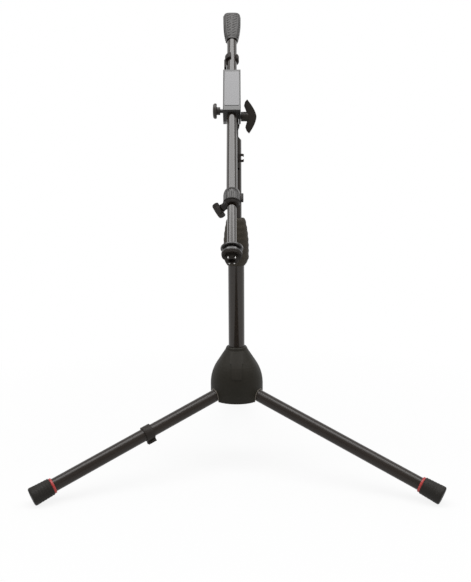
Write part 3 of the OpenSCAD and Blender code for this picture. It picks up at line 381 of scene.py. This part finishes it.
weight_profile = [(0, BOOM_REAR), (POCKET_R, BOOM_REAR), (POCKET_R, BOOM_REAR - POCKET_L),
                  (WEIGHT_BORE_R, BOOM_REAR - POCKET_L), (WEIGHT_BORE_R, WEIGHT_AT + 1.6),
                  (WEIGHT_FRONT_HALF - 0.3, WEIGHT_AT + 0.25), (WEIGHT_FRONT_HALF + 0.2, WEIGHT_AT)]
stations = [WEIGHT_AT + WEIGHT_L * WEIGHT_SIDE * k / 20 for k in range(1, 21)]
weight_profile += [(weight_half(z), z) for z in stations]
weight_profile += arc(WEIGHT_HALF - WEIGHT_ROUND, WEIGHT_END - WEIGHT_ROUND, WEIGHT_ROUND, 0, 90, 6)
weight_profile += [(5.0, WEIGHT_END), (0, WEIGHT_END)]
print("counterweight profile has", len(weight_profile), "points")

# %% [markdown]
# A squared ring follows the rule that the powers of the two coordinates add up to one. With a power of two
# it is a circle, and with a large power it is a square. Here it is near four. The bore for the tube and the
# pocket for the steel core stay round, and the corners stay inside a circle.

# %% Squared body of the counterweight
SQUARENESS = 3.84
SQUARE_FROM_R = 6.8
SQUARE_OVER = 1.2
WEIGHT_CORNER_R = 13.5

weight_bm = turned(weight_profile, closed=False)
for v in weight_bm.verts:
    radius = math.hypot(v.co.x, v.co.y)
    in_pocket = radius < POCKET_R + 0.5 and BOOM_REAR - POCKET_L - 1 < v.co.z < BOOM_REAR + 1
    if radius > SQUARE_FROM_R and not in_pocket:
        c, s = abs(v.co.x / radius), abs(v.co.y / radius)
        squared = 1 / (c ** SQUARENESS + s ** SQUARENESS) ** (1 / SQUARENESS)
        pull = min(1.0, (radius - SQUARE_FROM_R) / SQUARE_OVER)
        factor = min(1 + (squared - 1) * pull, WEIGHT_CORNER_R / radius)
        v.co.x *= factor
        v.co.y *= factor
print("counterweight body has", len(weight_bm.verts), "points")

# %% Ribs of the counterweight
RIB_ROWS = 9
RIB_FROM = WEIGHT_AT + 5.2
RIB_STEP = 4.25
RIB_COLUMN = 0.34
RIB_SUNK = 0.2
RIB_L = 7.4
RIB_DEEP = 1.0
RIB_WIDE = 1.7
RIB_LEAN = -33

for row in range(RIB_ROWS):
    z = RIB_FROM + row * RIB_STEP
    half = weight_half(z)
    for column in (-1, 1):
        rib = bmesh.new()
        add_block(rib, (RIB_L * half / WEIGHT_HALF, RIB_DEEP, RIB_WIDE))
        bevel_edges(rib, rib.edges, 0.45)
        bmesh.ops.rotate(rib, verts=rib.verts, matrix=Matrix.Rotation(math.radians(RIB_LEAN), 3, "Y"))
        bmesh.ops.translate(rib, verts=rib.verts, vec=(column * half * RIB_COLUMN, RIB_SUNK - half, z))
        rib_mesh = as_mesh(rib, "rib")
        for side in range(4):
            rib_mesh.transform(Matrix.Rotation(math.radians(90), 4, "Z"))
            weight_bm.from_mesh(rib_mesh)
        bpy.data.meshes.remove(rib_mesh)
place_piece("ribbed_counterweight", weight_bm, BOOM_AXIS, "boom", weight_rubber, ["counterweight"], sharp=50)

# %% [markdown]
# The microphone end is turned steel: a flange, a threaded stud and a lock ring. The thread is 5/8 inch with
# 27 turns to the inch, so it climbs 0.94 mm a turn. A thread isn't a stack of rings, and a spin with a step
# along its axis makes the true helix. A plain core carries it. The places of these pieces are counted from
# the low end of the inner tube, and down the boom is minus Z.

# %% Flange with its plug in the inner tube
INNER_END = -205
FLANGE_END = INNER_END - 2.5
FLANGE_R = 12.7
PLUG_R = 4.25
PLUG_L = 20

flange_bm = turned([(0, INNER_END + PLUG_L), (PLUG_R, INNER_END + PLUG_L), (PLUG_R, INNER_END),
                    (FLANGE_R - 0.6, INNER_END), (FLANGE_R - 0.2, INNER_END - 0.2),
                    (FLANGE_R, INNER_END - 0.7), (FLANGE_R, FLANGE_END + 0.9),
                    (FLANGE_R - 0.2, FLANGE_END + 0.3), (FLANGE_R - 0.6, FLANGE_END), (0, FLANGE_END)],
                   closed=False)
place_piece("microphone_flange", flange_bm, BOOM_AXIS, "boom_inner", black_chromate, ["mic_adapter"],
            sharp=30)

# %% Threaded stud
STUD_END = FLANGE_END - 15
STUD_R = 7.45
STUD_BORE_R = 4.0
STUD_BORE_L = 7
PITCH = 25.4 / 27
THREAD_AT = STUD_END + 4.7
THREAD_TURNS = 4.4
STEPS_PER_TURN = 36

stud_bm = turned([(0, FLANGE_END + 0.1), (STUD_R, FLANGE_END + 0.1), (STUD_R, STUD_END + 0.4),
                  (STUD_R - 0.35, STUD_END), (STUD_BORE_R + 0.4, STUD_END), (STUD_BORE_R, STUD_END + 0.4),
                  (STUD_BORE_R, STUD_END + STUD_BORE_L), (0, STUD_END + STUD_BORE_L)], closed=False)
tooth = [(7.2, THREAD_AT + 0.45), (7.9, THREAD_AT + 0.08), (7.9, THREAD_AT - 0.08), (7.2, THREAD_AT - 0.45)]
crest = [stud_bm.verts.new((radius, 0, height)) for radius, height in tooth]
ridge = [stud_bm.edges.new(pair) for pair in zip(crest, crest[1:] + crest[:1])]
bmesh.ops.spin(stud_bm, geom=crest + ridge, cent=(0, 0, 0), axis=(0, 0, 1), angle=math.tau * THREAD_TURNS,
               steps=int(STEPS_PER_TURN * THREAD_TURNS), dvec=(0, 0, -PITCH / STEPS_PER_TURN),
               use_merge=False)
loose = [e for e in stud_bm.edges if e.is_boundary]
bmesh.ops.holes_fill(stud_bm, edges=loose, sides=4)
place_piece("threaded_stud", stud_bm, BOOM_AXIS, "boom_inner", thread_black, sharp=30)

# %% [markdown]
# The four glints at the start of the thread are painted highlights. They are small domes of near-white steel
# in the edge of the stud's end, which shine wherever they are lit.

# %% Domes of the painted glints at the thread's start
GLINT_DOME_R = 0.95

glint_domes_bm = bmesh.new()
for x, y, inwards in ((3.9, -6.1, 0.7), (2.8, 4.9, 0)):
    for side in (-1, 1):
        spot = Matrix.Translation((side * x, y, STUD_END + inwards))
        bmesh.ops.create_icosphere(glint_domes_bm, subdivisions=3, radius=GLINT_DOME_R, matrix=spot)
place_piece("painted_glint_domes", glint_domes_bm, BOOM_AXIS, "boom_inner", glint_steel)

# %% [markdown]
# The lock ring has a plain rim and, next to it, a fine straight knurl for the fingers. The knurl is as matt
# as the thread, so it is a piece of its own. Every second line of its points is moved in a little, which
# gives the ridges without a single extra face.

# %% Lock ring
LOCK_TOP = FLANGE_END - 0.35
LOCK_RIM = LOCK_TOP - 4.1
LOCK_END = LOCK_TOP - 9.1
LOCK_BORE_R = 7.69
LOCK_NECK_R = 9.5
LOCK_R = 11.7
LOCK_STEPS = 120
KNURL_SHARE = 0.015

rim_bm = turned([(LOCK_BORE_R, LOCK_TOP), (LOCK_NECK_R - 0.3, LOCK_TOP), (LOCK_NECK_R, LOCK_TOP - 0.3),
                 (LOCK_NECK_R, LOCK_RIM), (LOCK_R - 0.6, LOCK_RIM), (LOCK_R - 0.2, LOCK_RIM - 0.15),
                 (LOCK_R, LOCK_RIM - 0.65), (LOCK_R, LOCK_RIM - 1.45), (LOCK_R - 0.15, LOCK_RIM - 1.75),
                 (LOCK_BORE_R, LOCK_RIM - 1.75)], steps=LOCK_STEPS)
place_piece("lock_ring_rim", rim_bm, BOOM_AXIS, "mic_lock", black_chromate, ["lock_ring"], sharp=30)

knurl_bm = turned([(LOCK_BORE_R, LOCK_RIM - 1.7), (LOCK_R - 0.2, LOCK_RIM - 1.7), (LOCK_R, LOCK_RIM - 1.95),
                   (LOCK_R - 0.1, LOCK_RIM - 3.25), (LOCK_R - 0.3, LOCK_RIM - 3.5),
                   (LOCK_R - 0.5, LOCK_END + 0.25), (LOCK_R - 0.8, LOCK_END), (LOCK_BORE_R, LOCK_END)],
                  steps=LOCK_STEPS)
for v in knurl_bm.verts:
    angle = math.atan2(v.co.y, v.co.x)
    if math.hypot(v.co.x, v.co.y) > LOCK_R - 0.4 and round(angle / math.tau * LOCK_STEPS) % 2:
        v.co.x *= 1 - KNURL_SHARE
        v.co.y *= 1 - KNURL_SHARE
place_piece("lock_ring_knurl", knurl_bm, BOOM_AXIS, "mic_lock", thread_black, sharp=30)

# %% [markdown]
# The telescope collar is a moulded ring that closes on the inner tube. Its upper half is fluted, its nose is
# cut back, and a small lug stands on its right. The flutes are drawn the same way as the knurl: some points
# of a turned shape are moved in. The heights are counted from the low end of the outer tube.

# %% Fluted part of the telescope collar
OUTER_END = -134
COLLAR_TOP = OUTER_END + 7
FLUTES_END = OUTER_END - 9.3
COLLAR_R = 10.05
COLLAR_BORE_R = 7.45
COLLAR_TUBE_R = 6.46
FLUTES_PER_TURN = 24
FLUTE_SHARE = 0.045

collar_bm = turned([(COLLAR_BORE_R, FLUTES_END), (COLLAR_R - 0.15, FLUTES_END), (COLLAR_R, FLUTES_END + 0.4),
                    (COLLAR_R, FLUTES_END + 0.7), (COLLAR_R, OUTER_END - 0.3), (COLLAR_R - 0.05, OUTER_END),
                    (COLLAR_R - 0.35, OUTER_END + 2.5), (COLLAR_R - 0.95, OUTER_END + 4.8),
                    (COLLAR_R - 1.85, COLLAR_TOP - 0.35), (COLLAR_R - 2.45, COLLAR_TOP),
                    (COLLAR_TUBE_R, COLLAR_TOP), (COLLAR_TUBE_R, OUTER_END + 0.1),
                    (COLLAR_BORE_R, OUTER_END - 0.1)], steps=288)
for v in collar_bm.verts:
    on_flutes = math.hypot(v.co.x, v.co.y) > COLLAR_R - 0.15 and FLUTES_END + 0.3 < v.co.z < OUTER_END + 4
    if on_flutes and v.co.y < 0.1:
        groove = max(0.0, math.cos(math.atan2(-v.co.y, v.co.x) * FLUTES_PER_TURN)) ** 2
        v.co.x *= 1 - FLUTE_SHARE * groove
        v.co.y *= 1 - FLUTE_SHARE * groove
place_piece("fluted_collar", collar_bm, BOOM_AXIS, "boom", collar_abs, ["telescope_collar"], sharp=32)

# %% Nose and lug of the collar
NOSE_END = COLLAR_TOP - 21
NOSE_R = 10.2
LUG_SIZE = (6.6, 5, 10)
LUG_PLACE = (10.3, 2.5, OUTER_END - 1)

nose_bm = turned([(COLLAR_BORE_R, NOSE_END + 0.8), (NOSE_R - 1.9, NOSE_END), (NOSE_R - 1.75, NOSE_END + 0.2),
                  (NOSE_R - 1.45, NOSE_END + 1.5), (NOSE_R - 0.7, FLUTES_END - 0.85),
                  (NOSE_R - 0.2, FLUTES_END - 0.8), (NOSE_R, FLUTES_END - 0.6), (NOSE_R, FLUTES_END - 0.2),
                  (NOSE_R - 0.2, FLUTES_END), (COLLAR_BORE_R, FLUTES_END)])
lug = add_block(nose_bm, LUG_SIZE)
bmesh.ops.translate(nose_bm, verts=lug, vec=LUG_PLACE)
lug_edges = [e for e in nose_bm.edges if e.verts[0] in lug and e.verts[1] in lug]
bevel_edges(nose_bm, lug_edges, 0.7)
place_piece("collar_nose_and_lug", nose_bm, BOOM_AXIS, "boom", nose_abs, sharp=32)

# %% [markdown]
# A boss on the collar's left carries the screw of the small knob. It is turned upright, and the screw's own
# place puts it and the knob on their slanted line.

# %% Screw boss of the collar
TELE_SCREW_TURN = -140
TELE_SCREW = BOOM_PLANE @ shifted(0, NOSE_END + 6.4, BOOM_OFF) @ turned_by(TELE_SCREW_TURN, "Y")
SCREW_HOLE_R = 2.55
BOSS_R = 4.5
BOSS_OUT = 15.4

boss_bm = turned([(SCREW_HOLE_R, BOSS_OUT - 6.2), (BOSS_R, BOSS_OUT - 6.2), (BOSS_R, BOSS_OUT - 0.8),
                  (BOSS_R - 0.6, BOSS_OUT), (SCREW_HOLE_R, BOSS_OUT)], steps=48)
place_piece("collar_boss", boss_bm, TELE_SCREW, "boom", nose_abs)

# %% [markdown]
# ## Knobs and the wing handle
# A knob's face is slightly domed and its edge is rounded, and the eye reads both from one soft highlight. The
# slide knob is a turned shape. The collar knob is the same shape with two sides cut off, so that it has two
# wings to push on: bisect_plane cuts, and the holes are closed again. Both stand on a narrow round step.

# %% Slide knob
KNOB_FRONT = 3.5
SLIDE_SCREW = BOOM_PLANE @ shifted(0, -KNOB_FRONT, BOOM_OFF) @ turned_by(-90, "Y")
KNOB_STEP = 4.4
KNOB_STEP_R = 4.8
KNOB_EDGE = 1.4


def knob_step(z):
    hole_top = z + KNOB_STEP - 0.4
    return [(0, hole_top), (SCREW_HOLE_R, hole_top), (SCREW_HOLE_R, z), (KNOB_STEP_R - 0.3, z),
            (KNOB_STEP_R, z + 0.3)]


def knob_profile(z, radius, thickness):
    back = z + KNOB_STEP
    top = back + thickness
    rim = 2 * KNOB_EDGE
    profile = knob_step(z)
    profile += [(KNOB_STEP_R, back - 0.3), (KNOB_STEP_R + 0.3, back), (radius - KNOB_EDGE, back)]
    profile += arc(radius - KNOB_EDGE, back + KNOB_EDGE, KNOB_EDGE, -90, 0, 6)
    profile += arc(radius - rim, top - rim, rim, 0, 77, 7)
    return profile + [(radius * 0.35, top + 0.3), (0, top + 0.4)]


slide_bm = turned(knob_profile(z=14.6, radius=9.5, thickness=4.6), closed=False)
place_piece("round_slide_knob", slide_bm, SLIDE_SCREW, "block_knob", round_knob_abs, ["slide_knob"], sharp=40)

# %% Collar knob
BAR_Z = 17.5
BAR_HALF = 3.5
BAR_TURN = 46

bar_bm = turned(knob_profile(BAR_Z, radius=9.7, thickness=5.2), closed=False)
for side in (-1, 1):
    parts = bar_bm.verts[:] + bar_bm.edges[:] + bar_bm.faces[:]
    cut = bmesh.ops.bisect_plane(bar_bm, geom=parts, plane_co=(0, side * BAR_HALF, 0), plane_no=(0, side, 0),
                                 clear_outer=True)["geom_cut"]
    bmesh.ops.holes_fill(bar_bm, edges=[e for e in cut if isinstance(e, bmesh.types.BMEdge)], sides=0)
above_step = BAR_Z + KNOB_STEP + 0.3
rims = [e for e in sharp_edges(bar_bm, 35) if min(v.co.z for v in e.verts) > above_step]
bevel_edges(bar_bm, rims, 0.5, segments=2)

step_end = BAR_Z + KNOB_STEP + 0.5
step_bm = turned(knob_step(BAR_Z) + [(KNOB_STEP_R, step_end), (0, step_end)], steps=48, closed=False)
step_mesh = as_mesh(step_bm, "step")
bar_bm.from_mesh(step_mesh)
bpy.data.meshes.remove(step_mesh)
place_piece("two_winged_knob", bar_bm, TELE_SCREW @ turned_by(BAR_TURN, "Z"), "extension_knob", knob_abs,
            ["collar_knob"], sharp=40)

# %% [markdown]
# The handle of the pivot has two wings like a butterfly's. Its flat outline is drawn as one face, extruded
# to its thickness and rounded all round with a wide bevel, which is how a moulded wing feels in the fingers.
# Each point of a wing's edge is its distance from the block and its share of the half height. A short round
# stem joins the wings to the block.

# %% Wing handle
BLOCK_HALF = 11.1
HANDLE = BOOM_PLANE @ shifted(BLOCK_HALF, 0, 0)
WING_HALF = 21
WING_T = 8
WING_OUT = 20
WING_TIP_OUT = 9.4
WING_LEAN = 1.2


def wing_edge(way):
    points = [(7.4, 0.02), (7.4, 0.31), (5.0, 0.64), (6.6, 0.86), (WING_TIP_OUT, 1.0)]
    shares = [0.97] + [0.93 - 0.07 * k for k in range(10)] + [0.24, 0.18, 0.1, 0.02]
    points += [(WING_OUT - (WING_OUT - WING_TIP_OUT) * share ** 1.6, share) for share in shares]
    return [(x - way * WING_LEAN * share, way * WING_HALF * share) for x, share in points]


wing_bm = bmesh.new()
outline = wing_edge(1) + wing_edge(-1)[::-1]
flat = wing_bm.faces.new([wing_bm.verts.new((x, y, -WING_T / 2)) for x, y in outline])
raised = bmesh.ops.extrude_face_region(wing_bm, geom=[flat])["geom"]
lifted = [g for g in raised if isinstance(g, bmesh.types.BMVert)]
bmesh.ops.translate(wing_bm, verts=lifted, vec=(0, 0, WING_T))
bmesh.ops.recalc_face_normals(wing_bm, faces=wing_bm.faces)
rims = [e for e in wing_bm.edges if abs(e.verts[0].co.z - e.verts[1].co.z) < 0.01]
bevel_edges(wing_bm, rims, 0.9, segments=5)
place_piece("butterfly_wings", wing_bm, HANDLE @ turned_by(-BOOM_RISE, "X") @ turned_by(90, "X"), "handle",
            knob_abs, ["wing_handle"], sharp=50)

# %% Stem of the handle
STEM_R = 6.0
STEM_END = 10.3
BOLT_HOLE_R = 3.05
BOLT_HOLE_END = 8.5

stem_bm = turned([(0, BOLT_HOLE_END), (BOLT_HOLE_R, BOLT_HOLE_END), (BOLT_HOLE_R, 0.3), (STEM_R - 0.6, 0.3),
                  (STEM_R, 0.9), (STEM_R, 7.4), (STEM_R - 0.8, 9.4), (STEM_R - 2.4, STEM_END), (0, STEM_END)],
                 steps=64, closed=False)
place_piece("handle_stem", stem_bm, HANDLE @ turned_by(90, "Y"), "handle", knob_abs)

# %% [markdown]
# ## The block's plate
# The face of the block carries a thin glossy plate that turns the boom's light band into one broad bright
# field. A wide flat plate needs only a rounded outline and a small bevel, so it starts as a block. It is left
# blank.

# %% Block plate
PLATE_SIZE = (18.6, 0.9, 57.6)
PLATE_MIDDLE = 24.8
BLOCK_FACE = 10.5

plate_bm = bmesh.new()
add_block(plate_bm, PLATE_SIZE)
corners = [e for e in plate_bm.edges if abs(e.verts[0].co.y - e.verts[1].co.y) > 0.5]
bevel_edges(plate_bm, corners, 1.6, segments=5)
bevel_edges(plate_bm, sharp_edges(plate_bm, 60), 0.25, segments=2)
bmesh.ops.translate(plate_bm, verts=plate_bm.verts, vec=(0, -BLOCK_FACE, PLATE_MIDDLE))
place_piece("blank_block_plate", plate_bm, BOOM_AXIS, "block", plate_gloss, sharp=20)

# %% [markdown]
# ## The upright
# The grip of the twist clutch is soft rubber moulded over a nut. Its ripples are only 0.4 mm deep, but they
# are what a hand holds on to, so the grip is turned again from a much finer profile than the CAD's. A grip
# that widens from the top and draws in at the foot needs two curves, and the smaller one counts.

# %% Clutch grip
GRIP_Z = 268.0
GRIP_H = 62
GRIP_TOP = GRIP_Z + GRIP_H
GRIP_R = 16.7
GRIP_TOP_R = 11.6
GRIP_FOOT_R = 12.0
GRIP_BORE_R = 10.95
GRIP_NECK_R = 7.75
GRIP_SWELL = 0.62
GRIP_TUCK = 0.14
RIPPLE = 7.6
RIPPLE_DEPTH = 0.4
GRIP_STEP = RIPPLE / 10


def grip_radius(z):
    from_top = min(1.0, (GRIP_TOP - z) / GRIP_H / GRIP_SWELL)
    from_foot = min(1.0, (z - GRIP_Z) / GRIP_H / GRIP_TUCK)
    swell = GRIP_TOP_R + (GRIP_R - GRIP_TOP_R) * math.sin(math.pi / 2 * from_top) ** 0.8
    tuck = GRIP_FOOT_R + (GRIP_R - GRIP_FOOT_R) * from_foot
    return min(swell, tuck) - RIPPLE_DEPTH * (0.5 + 0.5 * math.cos(math.tau * (z - GRIP_Z) / RIPPLE))


grip_profile = [(GRIP_BORE_R, GRIP_Z)]
grip_profile += [(grip_radius(GRIP_Z + GRIP_STEP * k), GRIP_Z + GRIP_STEP * k) for k in range(80)]
grip_profile += [(grip_radius(GRIP_TOP) - 0.35, GRIP_TOP - 0.5), (grip_radius(GRIP_TOP) - 1.2, GRIP_TOP),
                 (GRIP_NECK_R, GRIP_TOP), (GRIP_NECK_R, GRIP_TOP - 2), (GRIP_BORE_R, GRIP_TOP - 24)]
place_piece("rippled_grip", turned(grip_profile), UPRIGHT, "clutch", grip_rubber, ["clutch_grip"], sharp=60)

# %% [markdown]
# ## The hub and its leg notches
# The hub housing keeps its CAD shape, a cone over a straight skirt with a tucked-in foot. What the eye looks
# for is the rounded lip round each leg's notch: a thin bright arc. The lip follows the line where the notch
# meets the outer wall of the skirt. Its sides go straight down. For its arch the round notch is followed
# along the leg in small corrections until it meets the wall, point by point. The line becomes a curve with a
# round section.

# %% Line of a notch on the skirt
HUB_Z = 88.916
HUB_R = 35.0
HUB_TUCK = 1.6
HUB_FLARE = 11
NOTCH_R = 8.7
NOTCH_SIDE_TOP = 95.3
NOTCH_SIDE_STEP = 0.52


def wall_point(across, z):
    tucked_in = HUB_TUCK * max(0.0, 1 - (z - HUB_Z) / HUB_FLARE)
    return math.sqrt((HUB_R - tucked_in) ** 2 - across ** 2), across, z


def notch_line():
    slope = math.radians(LEG_SLOPE)
    sides = [NOTCH_SIDE_TOP - NOTCH_SIDE_STEP * k for k in range(1, 13)]
    arch = []
    for step in range(25):
        angle = math.pi * step / 24
        across, rise = NOTCH_R * math.cos(angle), NOTCH_R * math.sin(angle)
        along = 8.0
        for _ in range(30):
            x = LEG_PIN_R + along * math.cos(slope) + rise * math.sin(slope)
            z = LEG_PIN_Z - along * math.sin(slope) + rise * math.cos(slope)
            along += (wall_point(across, z)[0] - x) * 0.8
        arch.append((x, across, z))
    return [wall_point(NOTCH_R, z) for z in reversed(sides)] + arch + [wall_point(-NOTCH_R, z) for z in sides]


lip_line = notch_line()
print("notch lip has", len(lip_line), "points")

# %% Lips of the notches
LIP_R = 0.6

for side, turn in LEG_TURNS.items():
    curve = bpy.data.curves.new("lip", "CURVE")
    curve.dimensions = "3D"
    curve.bevel_depth = LIP_R
    curve.bevel_resolution = 3
    curve.use_fill_caps = True
    spline = curve.splines.new("POLY")
    spline.points.add(len(lip_line) - 1)
    for point, place in zip(spline.points, lip_line):
        point.co = (*place, 1)
    drawing = bpy.data.objects.new("lip", curve)
    lip_mesh = bpy.data.meshes.new_from_object(drawing)
    lip_bm = bmesh.new()
    lip_bm.from_mesh(lip_mesh)
    bpy.data.objects.remove(drawing)
    bpy.data.meshes.remove(lip_mesh)
    # The lips' pale colour is a painted highlight for the bright arc along their rounded edge.
    place_piece("notch_lip_" + side, lip_bm, turned_by(turn, "Z"), "base", lip_highlight_abs, sharp=60)

# %% [markdown]
# ## Feet
# A foot is a rubber cap over the end of its leg, with fine rings round it and a rounded end, and the red ring
# behind it is a plain moulded band with rounded edges. One drawing serves all three legs: the leg's place
# turns it to where it belongs.

# %% Profile of a foot
LEG_END = 270.184
LEG_R = 8.0
FOOT_L = 25.3
FOOT_AT = LEG_END - FOOT_L
FOOT_FLOOR = 4.5
FOOT_R = 11.3
FOOT_ROOT_R = 10.4
FOOT_ROUND = 2
FOOT_STEP = 0.9
FOOT_GROOVE = 0.28

foot_profile = [(0, LEG_END - FOOT_FLOOR), (LEG_R, LEG_END - FOOT_FLOOR), (LEG_R, FOOT_AT),
                (FOOT_ROOT_R - 0.5, FOOT_AT), (FOOT_ROOT_R - 0.1, FOOT_AT + 0.3)]
for k in range(25):
    z = FOOT_AT + 0.7 + k * FOOT_STEP
    swell = (FOOT_R - FOOT_ROOT_R) * (z - FOOT_AT) / (FOOT_L - FOOT_ROUND)
    groove = FOOT_GROOVE if k % 4 == 2 and k < 20 else 0
    foot_profile.append((FOOT_ROOT_R + swell - groove, z))
foot_profile += arc(FOOT_R - FOOT_ROUND, LEG_END - FOOT_ROUND, FOOT_ROUND, 0, 90, 6)
foot_profile += [(0, LEG_END)]
print("foot profile has", len(foot_profile), "points")

# %% Feet and rings
RING_W = 3
RING_R = 9.6
RING_AT = FOOT_AT - RING_W

ring_profile = [(LEG_R, RING_AT), (RING_R - 0.4, RING_AT), (RING_R, RING_AT + 0.4), (RING_R, FOOT_AT - 0.4),
                (RING_R - 0.3, FOOT_AT - 0.05), (LEG_R, FOOT_AT - 0.05)]
for side in LEG_TURNS:
    place_piece("rubber_foot_" + side, turned(foot_profile, steps=72, closed=False), leg_place(side),
                "leg_" + side, foot_rubber, ["foot_" + side], sharp=50)
    place_piece("red_band_" + side, turned(ring_profile, steps=72), leg_place(side), "leg_" + side, ring_red,
                ["foot_ring_" + side], sharp=50)

# %% [markdown]
# ## Clips
# The three cable clips are snap rings with a claw. Their CAD shape is right but its edges are as sharp as a
# drawing. A copy of the CAD mesh is merged, so that its triangles share points, and its flat faces are
# joined. It is brought to millimetres, as every other drawing is, and its sharp edges get a small bevel.

# %% Clips with softened edges
CLIP_EDGE = 0.35


def softened(node):
    bm = bmesh.new()
    bm.from_mesh(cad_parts[node].data)
    bmesh.ops.remove_doubles(bm, verts=bm.verts, dist=0.00001)
    bmesh.ops.dissolve_limit(bm, angle_limit=math.radians(1), verts=bm.verts, edges=bm.edges)
    bmesh.ops.scale(bm, verts=bm.verts, vec=(1000, 1000, 1000))
    bevel_edges(bm, sharp_edges(bm, 40), CLIP_EDGE, segments=2)
    return bm


for node, body in (("boom_cable_clip", "boom_clip"), ("tube_cable_clip", "mast_clip"),
                   ("leg_cable_clip", "leg_clip")):
    place_piece("soft_" + node, softened(node), UPRIGHT, body, clip_nylon, [node], sharp=50)

# %% [markdown]
# ## Floor, light and world
# The photograph has a white background and only a breath of shadow. The world and the floor are plain white
# to the camera, and the white screen behind the stand also shows in reflections, which makes the thin bright
# rims of the tubes. The room in front of the stand is about half as bright there, and the light that falls on
# the stand stays at a level that shows each colour about as it is written. Close to the stand the floor mixes
# in some of the real lit paper, so that it keeps the shadow.

# %% Floor
WHITE = (1, 1, 1, 1)


def flat_sheet(name, width, depth, place):
    bm = bmesh.new()
    bmesh.ops.create_grid(bm, x_segments=1, y_segments=1, size=0.5)
    bmesh.ops.scale(bm, verts=bm.verts, vec=(width, depth, 1))
    sheet = bpy.data.objects.new(name, as_mesh(bm, name))
    sheet.location = place
    bpy.context.scene.collection.objects.link(sheet)
    print(name, width, "by", depth, "m")
    return sheet


floor = flat_sheet("floor", 6, 6, (0, 0, -0.0005))

# %% [markdown]
# The paper of the floor is two shaders in one: a white glow for the rays that look at it, from the camera,
# off a glossy surface or through a clear one, and real white paper for the light that it throws on the stand.

# %% Paper of the floor
def seen_share(tree, path):
    seen = add_node(tree, "ShaderNodeMath", {0: path.outputs["Is Camera Ray"],
                                             1: path.outputs["Is Glossy Ray"]}, operation="MAXIMUM")
    return add_node(tree, "ShaderNodeMath", {0: seen.outputs[0], 1: path.outputs["Is Transmission Ray"]},
                    operation="MAXIMUM").outputs[0]


paper = bpy.data.materials.new("white_paper_floor")
paper.use_nodes = True
tree = paper.node_tree
tree.nodes.clear()
lit = add_node(tree, "ShaderNodeBsdfDiffuse", {"Color": linear("#dedede")})
path = add_node(tree, "ShaderNodeLightPath")
glow_level = add_node(tree, "ShaderNodeMapRange", {"Value": path.outputs["Is Glossy Ray"], "To Min": 1.0,
                                                   "To Max": 0.75})
glow = add_node(tree, "ShaderNodeEmission", {"Color": WHITE, "Strength": glow_level.outputs[0]})
spot = add_node(tree, "ShaderNodeTexCoord").outputs["Object"]
far = add_node(tree, "ShaderNodeVectorMath", {0: spot}, operation="LENGTH")
white_share = add_node(tree, "ShaderNodeMapRange", {"Value": far.outputs["Value"], "From Min": 0.25,
                                                    "From Max": 0.7, "To Min": 0.86, "To Max": 1.0})
share = add_node(tree, "ShaderNodeMath", {0: seen_share(tree, path), 1: white_share.outputs[0]},
                 operation="MULTIPLY")
blend = add_node(tree, "ShaderNodeMixShader", {0: share.outputs[0], 1: lit.outputs[0], 2: glow.outputs[0]})
add_node(tree, "ShaderNodeOutputMaterial", {"Surface": blend.outputs[0]})
floor.data.materials.append(paper)
print("floor material", paper.name)

# %% World
world = bpy.data.worlds.new("studio")
bpy.context.scene.world = world
world.use_nodes = True
tree = world.node_tree
tree.nodes.clear()
room = add_node(tree, "ShaderNodeBackground", {"Color": WHITE, "Strength": 0.5})
direction = add_node(tree, "ShaderNodeTexCoord").outputs["Generated"]
to_the_back = add_node(tree, "ShaderNodeSeparateXYZ", {0: direction}).outputs["Y"]
screen = add_node(tree, "ShaderNodeMapRange", {"Value": to_the_back, "From Min": -0.1, "From Max": 0.6,
                                               "To Min": 0.45, "To Max": 1.0})
path = add_node(tree, "ShaderNodeLightPath")
seen = seen_share(tree, path)
plain = add_node(tree, "ShaderNodeMath", {0: 1.0, 1: path.outputs["Is Glossy Ray"]}, operation="SUBTRACT")
bright = add_node(tree, "ShaderNodeMath", {0: plain.outputs[0], 1: screen.outputs[0]}, operation="MAXIMUM")
backdrop = add_node(tree, "ShaderNodeBackground", {"Color": WHITE, "Strength": bright.outputs[0]})
blend = add_node(tree, "ShaderNodeMixShader", {0: seen, 1: room.outputs[0], 2: backdrop.outputs[0]})
add_node(tree, "ShaderNodeOutputWorld", {"Surface": blend.outputs[0]})
print("world", world.name)

# %% [markdown]
# A long, narrow soft box over the stand draws the light band on the boom and fills the block's face, which
# both face up to the front. A smaller one further to the front lights the lower boom.

# %% Lamps
def soft_box(name, place, target, width, height, watts):
    data = bpy.data.lights.new(name, "AREA")
    data.shape = "RECTANGLE"
    data.size = width
    data.size_y = height
    data.energy = watts
    lamp = bpy.data.objects.new(name, data)
    aim = Vector(target) - Vector(place)
    lamp.matrix_world = Matrix.Translation(place) @ aim.to_track_quat("-Z", "Y").to_matrix().to_4x4()
    bpy.context.scene.collection.objects.link(lamp)


LAMP_TARGET = (0, -0.05, 0.35)
soft_box("top_soft_box", (0, -0.21, 1.85), LAMP_TARGET, width=4.1, height=0.66, watts=39)
soft_box("front_soft_box", (0, -0.72, 1.85), LAMP_TARGET, width=2.0, height=0.42, watts=6.5)
bpy.context.scene.view_settings.view_transform = "Standard"

# %% [markdown]
# A dark card on the floor in front of the stand draws the dark line down the middle of the upright tube.
# The camera, the shadows and the soft light don't see it. Only reflections do.

# %% Dark card
card = flat_sheet("dark_card", 0.9, 1.8, (0, -1.35, 0.002))
card_paint = bpy.data.materials.new("matt_black_card")
card_paint.use_nodes = True
card_paint.node_tree.nodes["Principled BSDF"].inputs["Base Color"].default_value = linear("#2a2a2a")
card.data.materials.append(card_paint)
card.visible_camera = False
card.visible_shadow = False
card.visible_diffuse = False
